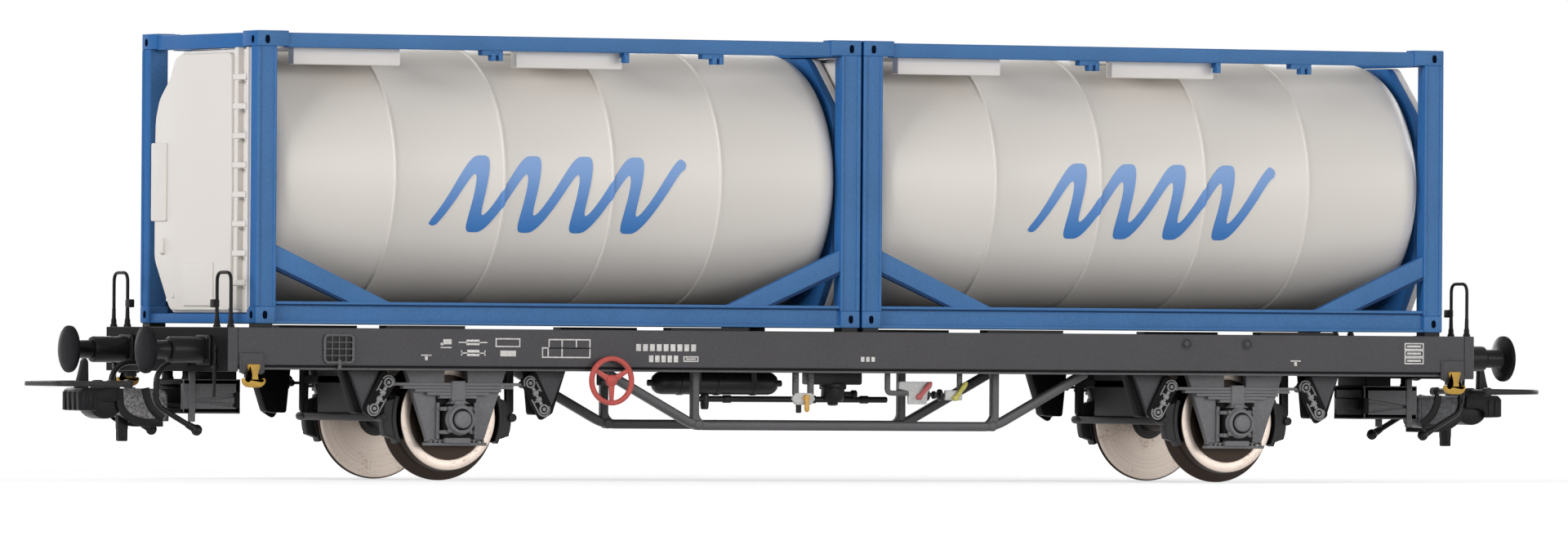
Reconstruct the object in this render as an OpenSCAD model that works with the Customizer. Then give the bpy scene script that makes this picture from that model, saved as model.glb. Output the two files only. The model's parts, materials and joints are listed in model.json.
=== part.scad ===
// Two-axle container flat wagon with two tank containers, at model railway size.
// X runs along the wagon, Y across it and Z up from the lowest point of the wheel flanges.
// Left is -X, right is +X, near is -Y and far is +Y.

/* [Wagon frame] */
// Room between the containers and the end beams' outer faces
end_room = 3.5; // [2.8:0.1:8]
// Room between the containers' sides and the sole bars' outer faces
side_room = 0.8; // [0.4:0.1:2]
// Height of the deck
deck_z = 15.65; // [15:0.05:20]
// Height of the sole bars' web
sill_h = 3.85; // [3.2:0.05:4.7]
// Thickness of the sole bars' web
sill_t = 1.2; // [0.9:0.1:1.6]
// Height of the end beams
beam_h = 4.55; // [3.8:0.05:5.5]
// Thickness of the end beams
beam_t = 1.2; // [0.8:0.1:2]
// Thickness of the deck plate
plate_t = 0.7; // [0.5:0.05:1]

/* [Running gear] */
// Distance between the two axles
wheelbase = 91.95; // [86:0.05:100]
// Diameter of the wheels at the tread
tread_d = 11; // [9:0.1:11.6]
// Height of the flange above the tread
flange_h = 1; // [0.6:0.05:1.2]
// Width of a wheel
wheel_w = 2.8; // [2.3:0.1:3]
// Distance between the backs of the two wheels of an axle
back_gap = 14.4; // [14:0.05:14.8]
// Diameter of the axle between the wheels
axle_d = 1.6; // [1.3:0.1:2]
// Diameter of the axle's bearing pins
pin_d = 1; // [0.8:0.05:1.2]
// Radial clearance of a bearing pin in its axle box
pin_clear = 0.05; // [0.02:0.01:0.1]
// Distance from the wheels' outer faces to the axle guards
guard_gap = 1; // [0.8:0.1:1.4]
// Half length of the leaf springs over their eyes
spring_half = 8.15; // [7.6:0.05:8.6]

/* [Truss] */
// Distance from the middle to the truss posts
truss_post = 17.7; // [14:0.1:20]
// Distance from the middle to the truss feet
truss_foot = 29.3; // [26:0.1:32]
// Height of the lower chord's underside
truss_z = 5.3; // [4.4:0.1:6.5]
// Distance of the trusses from the middle
truss_y = 10.5; // [9.6:0.1:11]

/* [Buffers and couplings] */
// Length of a buffer from the end beam to its face
buffer_len = 7.1; // [6:0.1:8.5]
// Distance between the two buffers of an end
buffer_gap = 18.8; // [18:0.1:21]
// Height of the buffers
buffer_z = 13.3; // [13.2:0.05:13.6]
// Diameter of a buffer head
buffer_d = 4.9; // [4.2:0.1:5.6]
// Distance from the end beam's face in to the coupling pivot
pivot_in = 3.9; // [3.6:0.1:4.4]
// Width of the coupling loop
loop_w = 12; // [10:0.1:13.5]
// Height of the coupling loop
loop_z = 9.75; // [9.6:0.05:9.9]

/* [Containers] */
// Length of a container
box_len = 69.8; // [62:0.1:80]
// Width of a container
box_w = 28; // [27.5:0.1:34]
// Height of a container
box_h = 30; // [28:0.1:36]
// Gap between the two containers
box_gap = 0.3; // [0.2:0.1:4]
// Height of the pads that carry a container
pad_h = 0.4; // [0.3:0.05:0.8]
// Width of a corner post along the container
post_l = 2.2; // [1.8:0.1:2.6]
// Width of a corner post across the container
post_w = 1.8; // [1.5:0.1:2.1]
// Diameter of the tank
tank_d = 26.7; // [20:0.1:27]

/* [Hidden] */
$fn = 48;

// colours
blue = [0.20, 0.42, 0.68];
cream = [0.86, 0.84, 0.80];
grey = [0.33, 0.32, 0.33];
black = [0.10, 0.10, 0.10];
nickel = [0.80, 0.74, 0.70];
red = [0.78, 0.30, 0.25];
yellow = [0.80, 0.62, 0.22];

// frame levels and faces
half_l = box_len + box_gap / 2 + end_room;
half_w = box_w / 2 + side_room;
beam_in = half_l - beam_t;
sill_z = deck_z - sill_h;
flange_t = 0.4;
sill_low = sill_z - flange_t;
flange_out = half_w - 0.3;
deck_low = deck_z - plate_t;
beam_low = deck_z - beam_h;
sill_half = 4;
centre_low = deck_low - 3.2;
centre_end_low = deck_low - 2.9;
bearer_t = 1.4;

// running gear levels and faces
axle_x = wheelbase / 2;
tread_r = tread_d / 2;
flange_r = tread_r + flange_h;
axle_z = flange_r;
back_y = back_gap / 2;
wheel_out = back_y + wheel_w;
guard_in = wheel_out + guard_gap;
guard_t = 0.8;
guard_out = guard_in + guard_t;
axle_box_out = guard_out + 1.1;
cap_ring_out = axle_box_out + 0.5;
cap_out = cap_ring_out + 0.4;
pin_end = guard_out + 0.6;
guard_low = axle_z - 2.45;
box_half = 2.3;
box_low = axle_z - 2;
box_top = axle_z + 1.4;
spring_in = guard_out + 0.5;
spring_out = spring_in + 1.4;
leaf_t = 0.33;
leaves = 5;
leaf_step = 1.4;
spring_top = axle_z + 3.6;
eye_r = 0.42;
shackle_x = 9.75;
shackle_z = spring_top - 2.7;
hanger_out = spring_out - 0.5;
flange_in = hanger_out - 0.8;
shackle_in = spring_out + 0.02;
shackle_out = shackle_in + 0.35;

// brake gear
shoe_clear = 0.4;
shoe_t = 1.5;
shoe_in = wheel_out - 1.4;
shoe_out = wheel_out - 0.1;
shoe_r = tread_r + shoe_clear;

// truss bars
bar_t = 1;
truss_top = sill_low;

// buffers
plate_d = 0.35;

// couplings
pivot_x = half_l - pivot_in;
pivot_r = 0.6;
pocket_l = 6.5;
pocket_w = 6.6;
pocket_wall = 0.6;
pocket_in = pivot_x - 3;
pocket_low = 6.75;
pocket_top = 10.3;
shank_low = pocket_low + pocket_wall + 0.4;
shank_t = 1.5;
head_x = pivot_x + 9.5;
head_l = 4.2;
head_w = 4.4;
head_low = 7.1;
head_top = loop_z - 0.75;
loop_len = 6.4;
loop_t = 0.7;
loop_bar = 0.8;
loop_pin_x = head_x + 1.4;

// containers
box_z = deck_z + pad_h;
box_x = box_gap / 2 + box_len / 2;
box_half_l = box_len / 2;
box_half_w = box_w / 2;
cast_low_h = 1.75;
cast_top_h = 1.6;
cast_top_l = 3.6;
cast_top_w = 1.9;
rail_drop = 0.2;
top_rail_h = 1.5;
rail_t = 1.3;
rail_in = 0.15;
base_rail_h = 2.3;
end_rail_h = 1.35;
top_rail_z = box_h - rail_drop - top_rail_h;
panel_t = 0.8;
plate_end_t = 0.8;
panel_x = box_half_l - rail_in - panel_t;
plate_x = panel_x - plate_end_t;
tank_r = tank_d / 2;
tank_z = top_rail_z + 0.4 - tank_r;
spigot_r = 0.45;
spigot_h = 0.9;
spigot_clear = 0.2;
socket_half = spigot_r + spigot_clear;
casting_c = post_l / 2;

// ---------------------------------------------------------------- helpers

// child shapes at the left and, mirrored, at the right end
module both_ends() {
    children();
    mirror([1, 0, 0]) children();
}

// child shapes at the near and, mirrored, at the far side
module both_sides() {
    children();
    mirror([0, 1, 0]) children();
}

// box given by its lowest and highest corners
module span(low, high) {
    translate(low) cube(high - low);
}

// outline in X and Z, extruded from y0 to y1
module slab_y(y0, y1, points) {
    translate([0, y1, 0]) rotate([90, 0, 0]) linear_extrude(y1 - y0) polygon(points);
}

// outline in Y and Z, extruded from x0 to x1
module slab_x(x0, x1, points) {
    translate([x0, 0, 0]) rotate([90, 0, 90]) linear_extrude(x1 - x0) polygon(points);
}

// straight round rod along Y
module rod_y(x, z, y0, y1, r) {
    translate([x, y0, z]) rotate([-90, 0, 0]) cylinder(h = y1 - y0, r = r);
}

// straight round rod along X
module rod_x(y, z, x0, x1, r) {
    translate([x0, y, z]) rotate([0, 90, 0]) cylinder(h = x1 - x0, r = r);
}

// straight round rod along Z
module rod_z(x, y, z0, z1, r) {
    translate([x, y, z0]) cylinder(h = z1 - z0, r = r);
}

// points of an arc about the origin
function arc(r, from, to, steps = 8) =
    [for (i = [0:steps]) r * [cos(from + (to - from) * i / steps), sin(from + (to - from) * i / steps)]];

function shifted(points, by) = [for (p = points) p + by];

// ---------------------------------------------------------------- wagon frame

module sole_bars() {
    color(grey) both_sides() {
        span([-beam_in, -half_w, sill_z], [beam_in, -half_w + sill_t, deck_z]);
        span([-beam_in, -flange_out, sill_low], [beam_in, -flange_in, sill_z]);
        // plates behind the rope hooks
        both_ends() translate([hook_x, 0, 0])
            span([-1.15, -half_w - hook_plate_t, hook_z + 1.4], [1.15, -half_w, hook_z + 3.6]);
    }
}

module end_beams() {
    color(grey) both_ends()
        span([beam_in, -half_w, beam_low], [half_l, half_w, deck_z]);
}

module deck() {
    color(black) difference() {
        span([-beam_in, -half_w + sill_t, deck_low], [beam_in, half_w - sill_t, deck_z]);
        // shallow panels between the deck ribs
        for (i = [-4:4]) translate([i * (beam_in - 6) / 4.6, 0, 0])
            span([-6, -half_w + 5, deck_z - 0.25], [6, half_w - 5, deck_z + 1]);
    }
}

module centre_sill() {
    color(black) {
        span([-pocket_in + 6, -sill_half, centre_low], [pocket_in - 6, sill_half, deck_low]);
        both_ends() span([pocket_in - 6, -sill_half, centre_end_low], [beam_in, sill_half, deck_low]);
    }
}

// bars between the centre sill and the sole bars
module cross_bearers() {
    color(black) both_sides() both_ends() for (x = [truss_post, truss_foot - 0.5, axle_x + 16])
        span([x - bearer_t / 2, -flange_in, sill_low], [x + bearer_t / 2, -sill_half, deck_low]);
}

// pads and spigots that the containers stand on, and low slabs between them
module container_pads() {
    color(black) for (side = [-1, 1], cx = [-box_x, box_x]) translate([cx, 0, 0]) {
        for (e = [-1, 1]) translate([e * (box_half_l - casting_c), side * (box_half_w - casting_c), 0]) {
            span([-0.9, -0.9, deck_z], [0.9, 0.9, box_z]);
            rod_z(0, 0, box_z, box_z + spigot_h, spigot_r);
        }
        for (x = [-0.22, 0.25] * box_len) translate([x, side * (box_half_w - 1.2), 0])
            span([-4.5, -0.9, deck_z], [4.5, 0.9, box_z - 0.1]);
    }
}

// ---------------------------------------------------------------- buffers, rails and hooks

module buffer() {
    rotate([0, 90, 0]) {
        rotate_extrude() polygon([
            [0, 0], [1.38, 0], [1.38, buffer_len - 2.2], [1.28, buffer_len - 2],
            [0.98, buffer_len - 2], [0.98, buffer_len - 1],
            [1.25, buffer_len - 0.7], [buffer_d / 2 - 0.1, buffer_len - 0.6],
            [buffer_d / 2, buffer_len - 0.5], [buffer_d / 2, buffer_len - 0.3],
            [buffer_d / 2 - 0.25, buffer_len - 0.12], [0.9, buffer_len], [0, buffer_len]
        ]);
        translate([-1.55, -1.75, 0]) cube([3.1, 3.5, plate_d]);
        for (y = [-1.35, 1.35], z = [-1.15, 1.15]) translate([z, y, 0])
            cylinder(h = plate_d + 0.25, r = 0.22);
    }
}

module buffers(end) {
    color(black) both_sides() mirror([end < 0 ? 1 : 0, 0, 0])
        translate([half_l, -buffer_gap / 2, buffer_z]) buffer();
}

module buffers_left() buffers(-1);
module buffers_right() buffers(1);

// shunters' grab rails: bent wire on the end beams
rail_r = 0.17;
rail_h = 5.6;
rail_half = 1.5;
rail_y = half_w - 2.1;
rail_bend = 0.6;

module grab_rails() {
    color(black) both_ends() both_sides() translate([half_l - beam_t / 2, -rail_y, deck_z]) {
        for (s = [-1, 1]) {
            rod_z(0, s * rail_half, 0, rail_h - rail_bend, rail_r);
            rod_z(0, s * rail_half, 0, 0.9, rail_r * 1.7);
            rod_z(0, s * rail_half, 0, 0.3, rail_r * 2.4);
            translate([0, s * (rail_half - rail_bend), rail_h - rail_bend]) rotate([90, 0, 90])
                rotate([0, 0, s > 0 ? 0 : 90]) rotate_extrude(angle = 90)
                    translate([rail_bend, 0]) circle(r = rail_r);
        }
        translate([0, 0, rail_h]) rod_y(0, 0, -rail_half + rail_bend, rail_half - rail_bend, rail_r);
        // lug for a lamp iron on the inner leg
        span([-0.3, rail_half + rail_r - 0.05, 2], [0.3, rail_half + rail_r + 1, 2.85]);
    }
}

// rope hooks on the sole bars
hook_x = half_l - 2.7;
hook_z = deck_z - 6.2;
hook_plate_t = 0.35;
hook_t = 0.5;

module rope_hooks() {
    color(yellow) both_ends() both_sides() translate([hook_x, 0, hook_z])
        slab_y(-half_w - hook_plate_t - hook_t, -half_w - hook_plate_t, [
            [-0.8, 2.9], [0.8, 2.9], [0.5, 2.2], [0.45, 1.5], [0.7, 1], [1, 0.95], [1, 1.45],
            [1.3, 1.5], [1.5, 0.9], [1.3, 0.35], [0.8, 0], [-0.8, 0], [-1.3, 0.35], [-1.5, 0.9],
            [-1.3, 1.5], [-1, 1.45], [-1, 0.95], [-0.7, 1], [-0.45, 1.5], [-0.5, 2.2]
        ]);
}

// wire label holders on the sole bars
label_w = 3.5;
label_h = 3;

module label_holders() {
    color(black) for (s = [0, 180]) rotate([0, 0, s])
        translate([12.55 - half_l, -half_w, sill_z + sill_h / 2]) difference() {
            span([-label_w / 2, -0.3, -label_h / 2], [label_w / 2, 0, label_h / 2]);
            for (i = [-1:1], j = [-1:1]) translate([i * 1.1, 0, j * 0.9])
                span([-0.38, -0.6, -0.28], [0.38, -0.12, 0.28]);
        }
}

// ---------------------------------------------------------------- running gear

// one axle guard with its axle box, on the near side at x = 0
module axle_guard() {
    leg = [
        [-5.8, deck_low], [-1.3, deck_low], [-1.3, axle_z + 3.4], [-box_half, axle_z + 2.1],
        [-box_half, guard_low], [-3.2, guard_low], [-5.8, sill_low]
    ];
    difference() {
        union() {
            slab_y(-guard_out, -guard_in, leg);
            mirror([1, 0, 0]) slab_y(-guard_out, -guard_in, leg);
            span([-3.5, -guard_out, guard_low - 0.45], [3.5, -guard_in, guard_low]);
            span([-box_half, -guard_out, box_low], [box_half, -guard_in, box_top]);
            span([-box_half + 0.2, -axle_box_out, box_low], [box_half - 0.2, -guard_out, box_top]);
            span([-box_half, -axle_box_out + 0.3, axle_z - 1.7], [box_half, -guard_out, axle_z - 1.2]);
            span([-box_half, -axle_box_out + 0.3, axle_z + 0.6], [box_half, -guard_out, axle_z + 1.1]);
            rod_y(0, axle_z, -cap_ring_out, -axle_box_out, 1.5);
            rod_y(0, axle_z, -cap_out, -cap_ring_out, 0.95);
            span([-1.4, -guard_out, guard_low - 0.45], [1.4, -guard_in, box_low]);
        }
        rod_y(0, axle_z, -pin_end - 0.1, -guard_in + 1, pin_d / 2 + pin_clear);
    }
}

module axle_guards(end) {
    color(grey) translate([end * axle_x, 0, 0]) both_sides() axle_guard();
}

module axle_guards_left() axle_guards(-1);
module axle_guards_right() axle_guards(1);

// one leaf spring with its buckle, on the near side at x = 0
module leaf_spring() {
    for (i = [0:leaves - 1]) {
        half = spring_half - eye_r - i * leaf_step;
        span([-half, -spring_out, spring_top - (i + 1) * leaf_t], [half, -spring_in, spring_top - i * leaf_t]);
    }
    span([-0.8, -spring_out - 0.15, spring_top - leaves * leaf_t - 0.25],
         [0.8, -spring_in + 0.15, spring_top + 0.2]);
    span([-0.55, -axle_box_out + 0.1, box_top], [0.55, -spring_in + 0.15, spring_top - leaves * leaf_t - 0.25]);
}

module leaf_springs(end) {
    color(grey) translate([end * axle_x, 0, 0]) both_sides() leaf_spring();
}

module leaf_springs_left() leaf_springs(-1);
module leaf_springs_right() leaf_springs(1);

// one hanger with its shackle, on the near side and to the right of the axle
module spring_hanger() {
    dx = shackle_x - spring_half;
    dz = spring_top - shackle_z;
    link_len = sqrt(dx * dx + dz * dz);
    // hanger plate under the sole bar's flange
    slab_y(-hanger_out, -flange_in, [
        [9, sill_low], [12.4, sill_low], [shackle_x + 0.8, shackle_z - 0.5], [shackle_x - 0.5, shackle_z - 0.7]
    ]);
    // shackle plates between the spring's eye and the hanger's lower pin
    translate([spring_half, 0, spring_top]) rotate([0, atan2(dz, dx), 0])
        span([-0.75, -shackle_out, -0.7], [link_len + 0.75, -shackle_in, 0.7]);
    rod_y(spring_half, spring_top, -shackle_out - 0.3, -spring_in, eye_r);
    rod_y(shackle_x, shackle_z, -shackle_out - 0.3, -hanger_out + 0.2, eye_r);
}

module spring_hangers(end) {
    color(grey) translate([end * axle_x, 0, 0]) both_ends() both_sides() spring_hanger();
}

module spring_hangers_left() spring_hangers(-1);
module spring_hangers_right() spring_hangers(1);

// brake blocks, hangers and cross rods of one axle
module brakes(end) {
    hang_x = shoe_r + shoe_t;
    color(black) translate([end * axle_x, 0, 0]) both_ends() {
        both_sides() {
            slab_y(-shoe_out, -shoe_in, shifted(concat(
                arc(shoe_r, -24, 20), arc(shoe_r + shoe_t, 12, -16)), [0, axle_z]));
            span([hang_x - 0.75, -shoe_out + 0.3, axle_z], [hang_x, -shoe_in - 0.3, deck_low]);
        }
        rod_y(hang_x, axle_z, -shoe_out - 0.25, shoe_out + 0.25, 0.35);
    }
}

module brakes_left() brakes(-1);
module brakes_right() brakes(1);

module axle(end) {
    color(black) translate([end * axle_x, 0, axle_z]) {
        rod_y(0, 0, -wheel_out - 0.3, wheel_out + 0.3, axle_d / 2);
        rod_y(0, 0, -pin_end, pin_end, pin_d / 2);
    }
}

// wheel profile turned about Y, with its back at y = 0 and its outer face towards -Y
module wheel(end, side) {
    rim_r = tread_r - 1.1;
    color(nickel) translate([end * axle_x, side * back_y, axle_z]) rotate([side > 0 ? -90 : 90, 0, 0])
        rotate_extrude($fn = 96) polygon([
            [axle_d / 2, 0], [flange_r - 0.35, 0], [flange_r, 0.3], [flange_r, 0.5],
            [tread_r + 0.25, 0.9], [tread_r + 0.05, 1.1], [tread_r - 0.05, wheel_w - 0.15],
            [tread_r - 0.2, wheel_w], [rim_r, wheel_w], [rim_r - 0.2, wheel_w - 0.8],
            [axle_d / 2 + 1, wheel_w - 0.8], [axle_d / 2 + 0.8, wheel_w], [axle_d / 2, wheel_w]
        ]);
}

module axle_left() axle(-1);
module axle_right() axle(1);
module wheel_left_near() wheel(-1, -1);
module wheel_left_far() wheel(-1, 1);
module wheel_right_near() wheel(1, -1);
module wheel_right_far() wheel(1, 1);

// ---------------------------------------------------------------- truss and brake parts

module truss() {
    half = bar_t / 2;
    color(black) {
        span([-truss_post - half, -truss_y - half, truss_z],
             [truss_post + half, -truss_y + half, truss_z + bar_t]);
        both_ends() {
            span([truss_post - half, -truss_y - half, truss_z],
                 [truss_post + half, -truss_y + half, truss_top]);
            slab_y(-truss_y - half, -truss_y + half, [
                [truss_post - half, truss_z], [truss_post + half, truss_z], [truss_foot, truss_top],
                [truss_foot - 1.6, truss_top], [truss_post - half, truss_z + bar_t]
            ]);
        }
    }
}

module truss_near() truss();
module truss_far() mirror([0, 1, 0]) truss();

// handwheels, one each side, with their spindles and brackets
hand_x = 29.9;
hand_z = 10.4;
hand_r = 2.4;
hand_y = half_w + 0.75;

module handwheels() {
    color(red) both_sides() translate([-hand_x, -hand_y, hand_z]) {
        rotate([90, 0, 0]) rotate_extrude() translate([hand_r, 0]) circle(r = 0.24, $fn = 24);
        for (a = [30, 150, 270]) rotate([0, -a, 0]) rod_x(0, 0, 0, hand_r, 0.17);
        rod_y(0, 0, -0.35, 0.35, 0.55);
        rod_y(0, 0, 0.3, hand_y - flange_in - 0.6, 0.22);
        // bracket under the sole bar's flange
        span([-0.5, hand_y - flange_in - 1.1, -0.5], [0.5, hand_y - flange_in - 0.5, sill_low - hand_z]);
    }
}

reservoir_r = 1.2;
reservoir_y = 6;
reservoir_z = deck_low - 4.75;

module air_reservoir() {
    ends = [-20.3, -5.8];
    color(black) {
        translate([ends[0], -reservoir_y, reservoir_z]) rotate([0, 90, 0]) rotate_extrude() polygon([
            [0, 0], [reservoir_r * 0.6, 0.1], [reservoir_r * 0.9, 0.35], [reservoir_r, 0.8],
            [reservoir_r, ends[1] - ends[0] - 0.8], [reservoir_r * 0.9, ends[1] - ends[0] - 0.35],
            [reservoir_r * 0.6, ends[1] - ends[0] - 0.1], [0, ends[1] - ends[0]]
        ]);
        for (x = [-15.5, -9]) difference() {
            span([x - 0.4, -reservoir_y - 0.6, reservoir_z], [x + 0.4, -reservoir_y + 0.6, deck_low]);
            rod_x(-reservoir_y, reservoir_z, x - 1, x + 1, reservoir_r);
        }
    }
}

// brake valve with its rods and drain cock, and the brackets that hang beside it
valve_x = 0.4;
valve_r = 1.3;
drain_x = -14.7;
rod_z0 = deck_low - 6.4;
rod_r = 0.2;
gallows_x = -6.1;
bracket_x = 3.85;
foot_x = bracket_x + 2.4;
plate_y0 = flange_in + 0.1;
plate_y1 = flange_in + 0.5;

module brake_valve() {
    color(black) {
        rod_z(valve_x, -reservoir_y, deck_low - 6.6, deck_low - 4.4, valve_r);
        rod_z(valve_x, -reservoir_y, deck_low - 4.4, deck_low, 0.7);
        rod_z(drain_x, -reservoir_y, deck_low - 7.5, reservoir_z - reservoir_r, 0.45);
        rod_x(-reservoir_y, rod_z0, drain_x, valve_x, rod_r);
        rod_x(-reservoir_y, rod_z0, valve_x, foot_x + 1, rod_r);
        // gallows bracket with the stub under its plate
        for (s = [-1, 1]) span([gallows_x + s * 0.88 - 0.28, -plate_y1, sill_low - 2.25],
                               [gallows_x + s * 0.88 + 0.28, -plate_y0, sill_low]);
        rod_z(gallows_x - 0.3, -plate_y0 - 0.2, sill_low - 4.2, sill_low - 3.35, 0.28);
        // angle bracket and hanger of the two changeover plates
        span([bracket_x - 0.3, -plate_y1, sill_low - 2.4], [bracket_x + 0.3, -plate_y0, sill_low]);
        span([bracket_x + 0.3, -plate_y1, sill_low - 2.4], [foot_x, -plate_y0, sill_low - 1.85]);
        span([foot_x + 5.85, -plate_y1, sill_low - 1.75], [foot_x + 6.45, -plate_y0, sill_low]);
        rod_x(-plate_y0 - 0.2, sill_low - 2.3, foot_x + 2.4, foot_x + 4.35, rod_r);
    }
}

// white indicator plates of the changeover levers
module changeover_plates() {
    color(cream) {
        slab_y(-plate_y1, -plate_y0, shifted([
            [-1.25, -2.8], [-0.85, -2.25], [0.85, -2.25], [1.25, -2.8], [0.8, -3.35], [-0.8, -3.35]
        ], [gallows_x, sill_low]));
        slab_y(-plate_y1, -plate_y0, shifted([
            [-0.65, -0.9], [2.9, -0.9], [2.85, -1.5], [2.35, -2], [2.2, -3.3], [0, -3.3],
            [0, -1.8], [-0.65, -1.6]
        ], [foot_x, sill_low]));
        span([foot_x + 4.35, -plate_y1, sill_low - 2.85], [foot_x + 6.45, -plate_y0, sill_low - 1.75]);
    }
}

// round lever turned up from +X by an angle, on a pivot in front of its plate
module lever(x, z, length, angle) {
    rod_y(x, z, -plate_y1 - 0.35, -plate_y1, 0.3);
    translate([x, -plate_y1 - 0.35, z]) rotate([0, -angle, 0]) {
        rod_x(0, 0, 0, length, 0.25);
        translate([length, 0, 0]) sphere(r = 0.25, $fn = 24);
    }
}

module red_levers() {
    color(red) lever(foot_x + 1.15, sill_low - 2.5, 1.9, 48);
}

module yellow_levers() {
    color(yellow) {
        lever(foot_x + 5.6, sill_low - 2.6, 1.9, 50);
        lever(gallows_x + 0.2, sill_low - 2.8, 1.2, -90);
    }
}

// ---------------------------------------------------------------- couplings

// pocket under the frame with the coupling's pivot pin
module coupling_box() {
    wall = pocket_wall;
    color(grey) {
        difference() {
            span([pocket_in, -pocket_w / 2, pocket_low], [pocket_in + pocket_l, pocket_w / 2, pocket_top]);
            span([pocket_in + wall, -pocket_w / 2 + wall, pocket_low + wall],
                 [pocket_in + pocket_l + 1, pocket_w / 2 - wall, pocket_top - wall]);
        }
        rod_z(pivot_x, 0, pocket_low + wall, pocket_top - wall, pivot_r);
        for (x = [pocket_in + 1.5, pocket_in + pocket_l - 1.5], y = [-1, 1] * (pocket_w / 2 - 1))
            rod_z(x, y, pocket_top, centre_end_low, 0.5);
    }
}

module coupling_box_left() mirror([1, 0, 0]) coupling_box();
module coupling_box_right() coupling_box();

// coupling shank and head with its hook and its lifting pin
module coupling() {
    top = shank_low + shank_t;
    color(black) difference() {
        union() {
            rod_z(pivot_x, 0, shank_low, top, 1.4);
            span([pivot_x, -1.2, shank_low], [head_x, 1.2, top]);
            span([head_x, -head_w / 2, head_low], [head_x + head_l, head_w / 2, head_top]);
            // curved belly behind the head
            slab_y(-1.7, 1.7, shifted(concat(arc(3.2, 180, 270, 6), [[0, 0.4]]), [head_x, head_low + 1.6]));
            // ribs on the head's front
            for (y = [-1.6, -0.55, 0.55, 1.6])
                span([head_x + head_l, y - 0.22, head_low + 0.15],
                     [head_x + head_l + 0.3, y + 0.22, head_top - 0.3]);
            // hook
            slab_y(-0.35, 0.35, [
                [head_x + 1.9, head_top], [head_x + 3.9, head_top], [head_x + 3.3, head_top + 1.9],
                [head_x + 2.9, head_top + 3.4], [head_x + 2.1, head_top + 3.4], [head_x + 2.2, head_top + 1.6]
            ]);
            // lifting pin under the shank
            slab_y(-0.45, 0.45, [
                [head_x - 1.5, shank_low], [head_x - 0.3, shank_low], [head_x - 0.4, 3.9], [head_x - 1.4, 3.9]
            ]);
            // ears that hold the loop's pin
            for (y = [-1, 1] * (head_w / 2 - 0.4)) slab_y(y - 0.4, y + 0.4, [
                [head_x + 0.6, head_top], [head_x + 2.1, head_top], [head_x + 2.1, loop_z + 0.4],
                [head_x + 0.6, loop_z + 0.4]
            ]);
        }
        rod_z(pivot_x, 0, shank_low - 1, top + 1, pivot_r + pin_clear);
        rod_y(loop_pin_x - 0.05, loop_z, -head_w, head_w, loop_pin_r + pin_clear);
    }
}

module coupling_left() mirror([1, 0, 0]) coupling();
module coupling_right() coupling();

// coupling loop: a flat bow whose ends turn on a pin in the head
loop_pin_r = 0.25;

module loop() {
    inner = loop_w / 2 - loop_bar;
    front = head_x + 2 + loop_len;
    color(black) {
        rod_y(loop_pin_x - 0.05, loop_z, -loop_w / 2, loop_w / 2, loop_pin_r);
        for (s = [-1, 1]) translate([0, s * (loop_w / 2 - loop_bar / 2), 0])
            span([loop_pin_x - 0.6, -loop_bar / 2, loop_z - loop_t / 2],
                 [front - loop_bar, loop_bar / 2, loop_z + loop_t / 2]);
        span([front - loop_bar, -loop_w / 2, loop_z - loop_t / 2], [front, loop_w / 2, loop_z + loop_t / 2]);
    }
}

module loop_left() mirror([1, 0, 0]) loop();
module loop_right() loop();

// moulded air hoses: out of the end beam, down in front of it and slanting back under it
hose_y = 5.5;
hose_r = 0.28;
hose_out = 2.4;
hose_top_bend = 1.8;
hose_low_bend = 1.5;
hose_drop = 1.8;
hose_tail = 4.4;
hose_slant = 29;

// bent piece of hose about the local Y axis, between two angles from +X
module hose_arc(bend, from, to) {
    rotate([90, 0, 0]) rotate([0, 0, from]) rotate_extrude(angle = to - from)
        translate([bend, 0]) circle(r = hose_r, $fn = 24);
}

module air_hoses() {
    turn = 90 - hose_slant;
    color(black) both_sides() translate([half_l, -hose_y, beam_low + 1.1]) {
        rod_x(0, 0, 0, 0.5, 0.5);
        rod_x(0, 0, 0, hose_out, hose_r);
        translate([hose_out, 0, -hose_top_bend]) {
            hose_arc(hose_top_bend, 0, 90);
            rod_z(hose_top_bend, 0, -hose_drop, 0, hose_r);
            translate([hose_top_bend - hose_low_bend, 0, -hose_drop]) {
                hose_arc(hose_low_bend, -turn, 0);
                rotate([0, turn, 0]) translate([hose_low_bend, 0, 0]) {
                    rod_z(0, 0, -hose_tail, 0, hose_r);
                    translate([0, 0, -hose_tail]) sphere(r = 0.6, $fn = 32);
                }
            }
        }
    }
}

module air_hoses_left() mirror([1, 0, 0]) air_hoses();
module air_hoses_right() air_hoses();

// ---------------------------------------------------------------- tank containers

// child shapes placed at the left (-1) or right (1) container's middle, at its underside
module container(place) {
    translate([place * box_x, 0, box_z]) children();
}

module tank(place) {
    knuckle = 2.8;
    bead = 0.16;
    end_x = plate_x;
    straight = end_x - knuckle;
    half_profile = [
        [tank_r, 0], for (x = [tank_len_step / 2, tank_len_step * 1.5])
            each [[tank_r, x - 0.3], [tank_r + bead, x - 0.12], [tank_r + bead, x + 0.12], [tank_r, x + 0.3]],
        each shifted(arc(knuckle, 0, 90, 5), [tank_r - knuckle, straight]), [0, end_x]
    ];
    color(cream) container(place) translate([0, 0, tank_z]) rotate([0, 90, 0]) {
        rotate_extrude($fn = 128) polygon(concat([[0, 0]], half_profile));
        mirror([0, 0, 1]) rotate_extrude($fn = 128) polygon(concat([[0, 0]], half_profile));
    }
}

tank_len_step = 12.55;

// outline of the end plates: an eight-cornered plate between the end rails
oct_top = 4.8;
oct_side = 11.2;
oct = [
    [oct_top, top_rail_z], [oct_side - 1, top_rail_z - 4.5], [oct_side, top_rail_z - 7], [oct_side, 8.6],
    [oct_side - 0.8, 6.9], [6.3, end_rail_h]
];
oct_outline = concat(oct, [for (i = [len(oct) - 1:-1:0]) [-oct[i][0], oct[i][1]]]);

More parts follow.
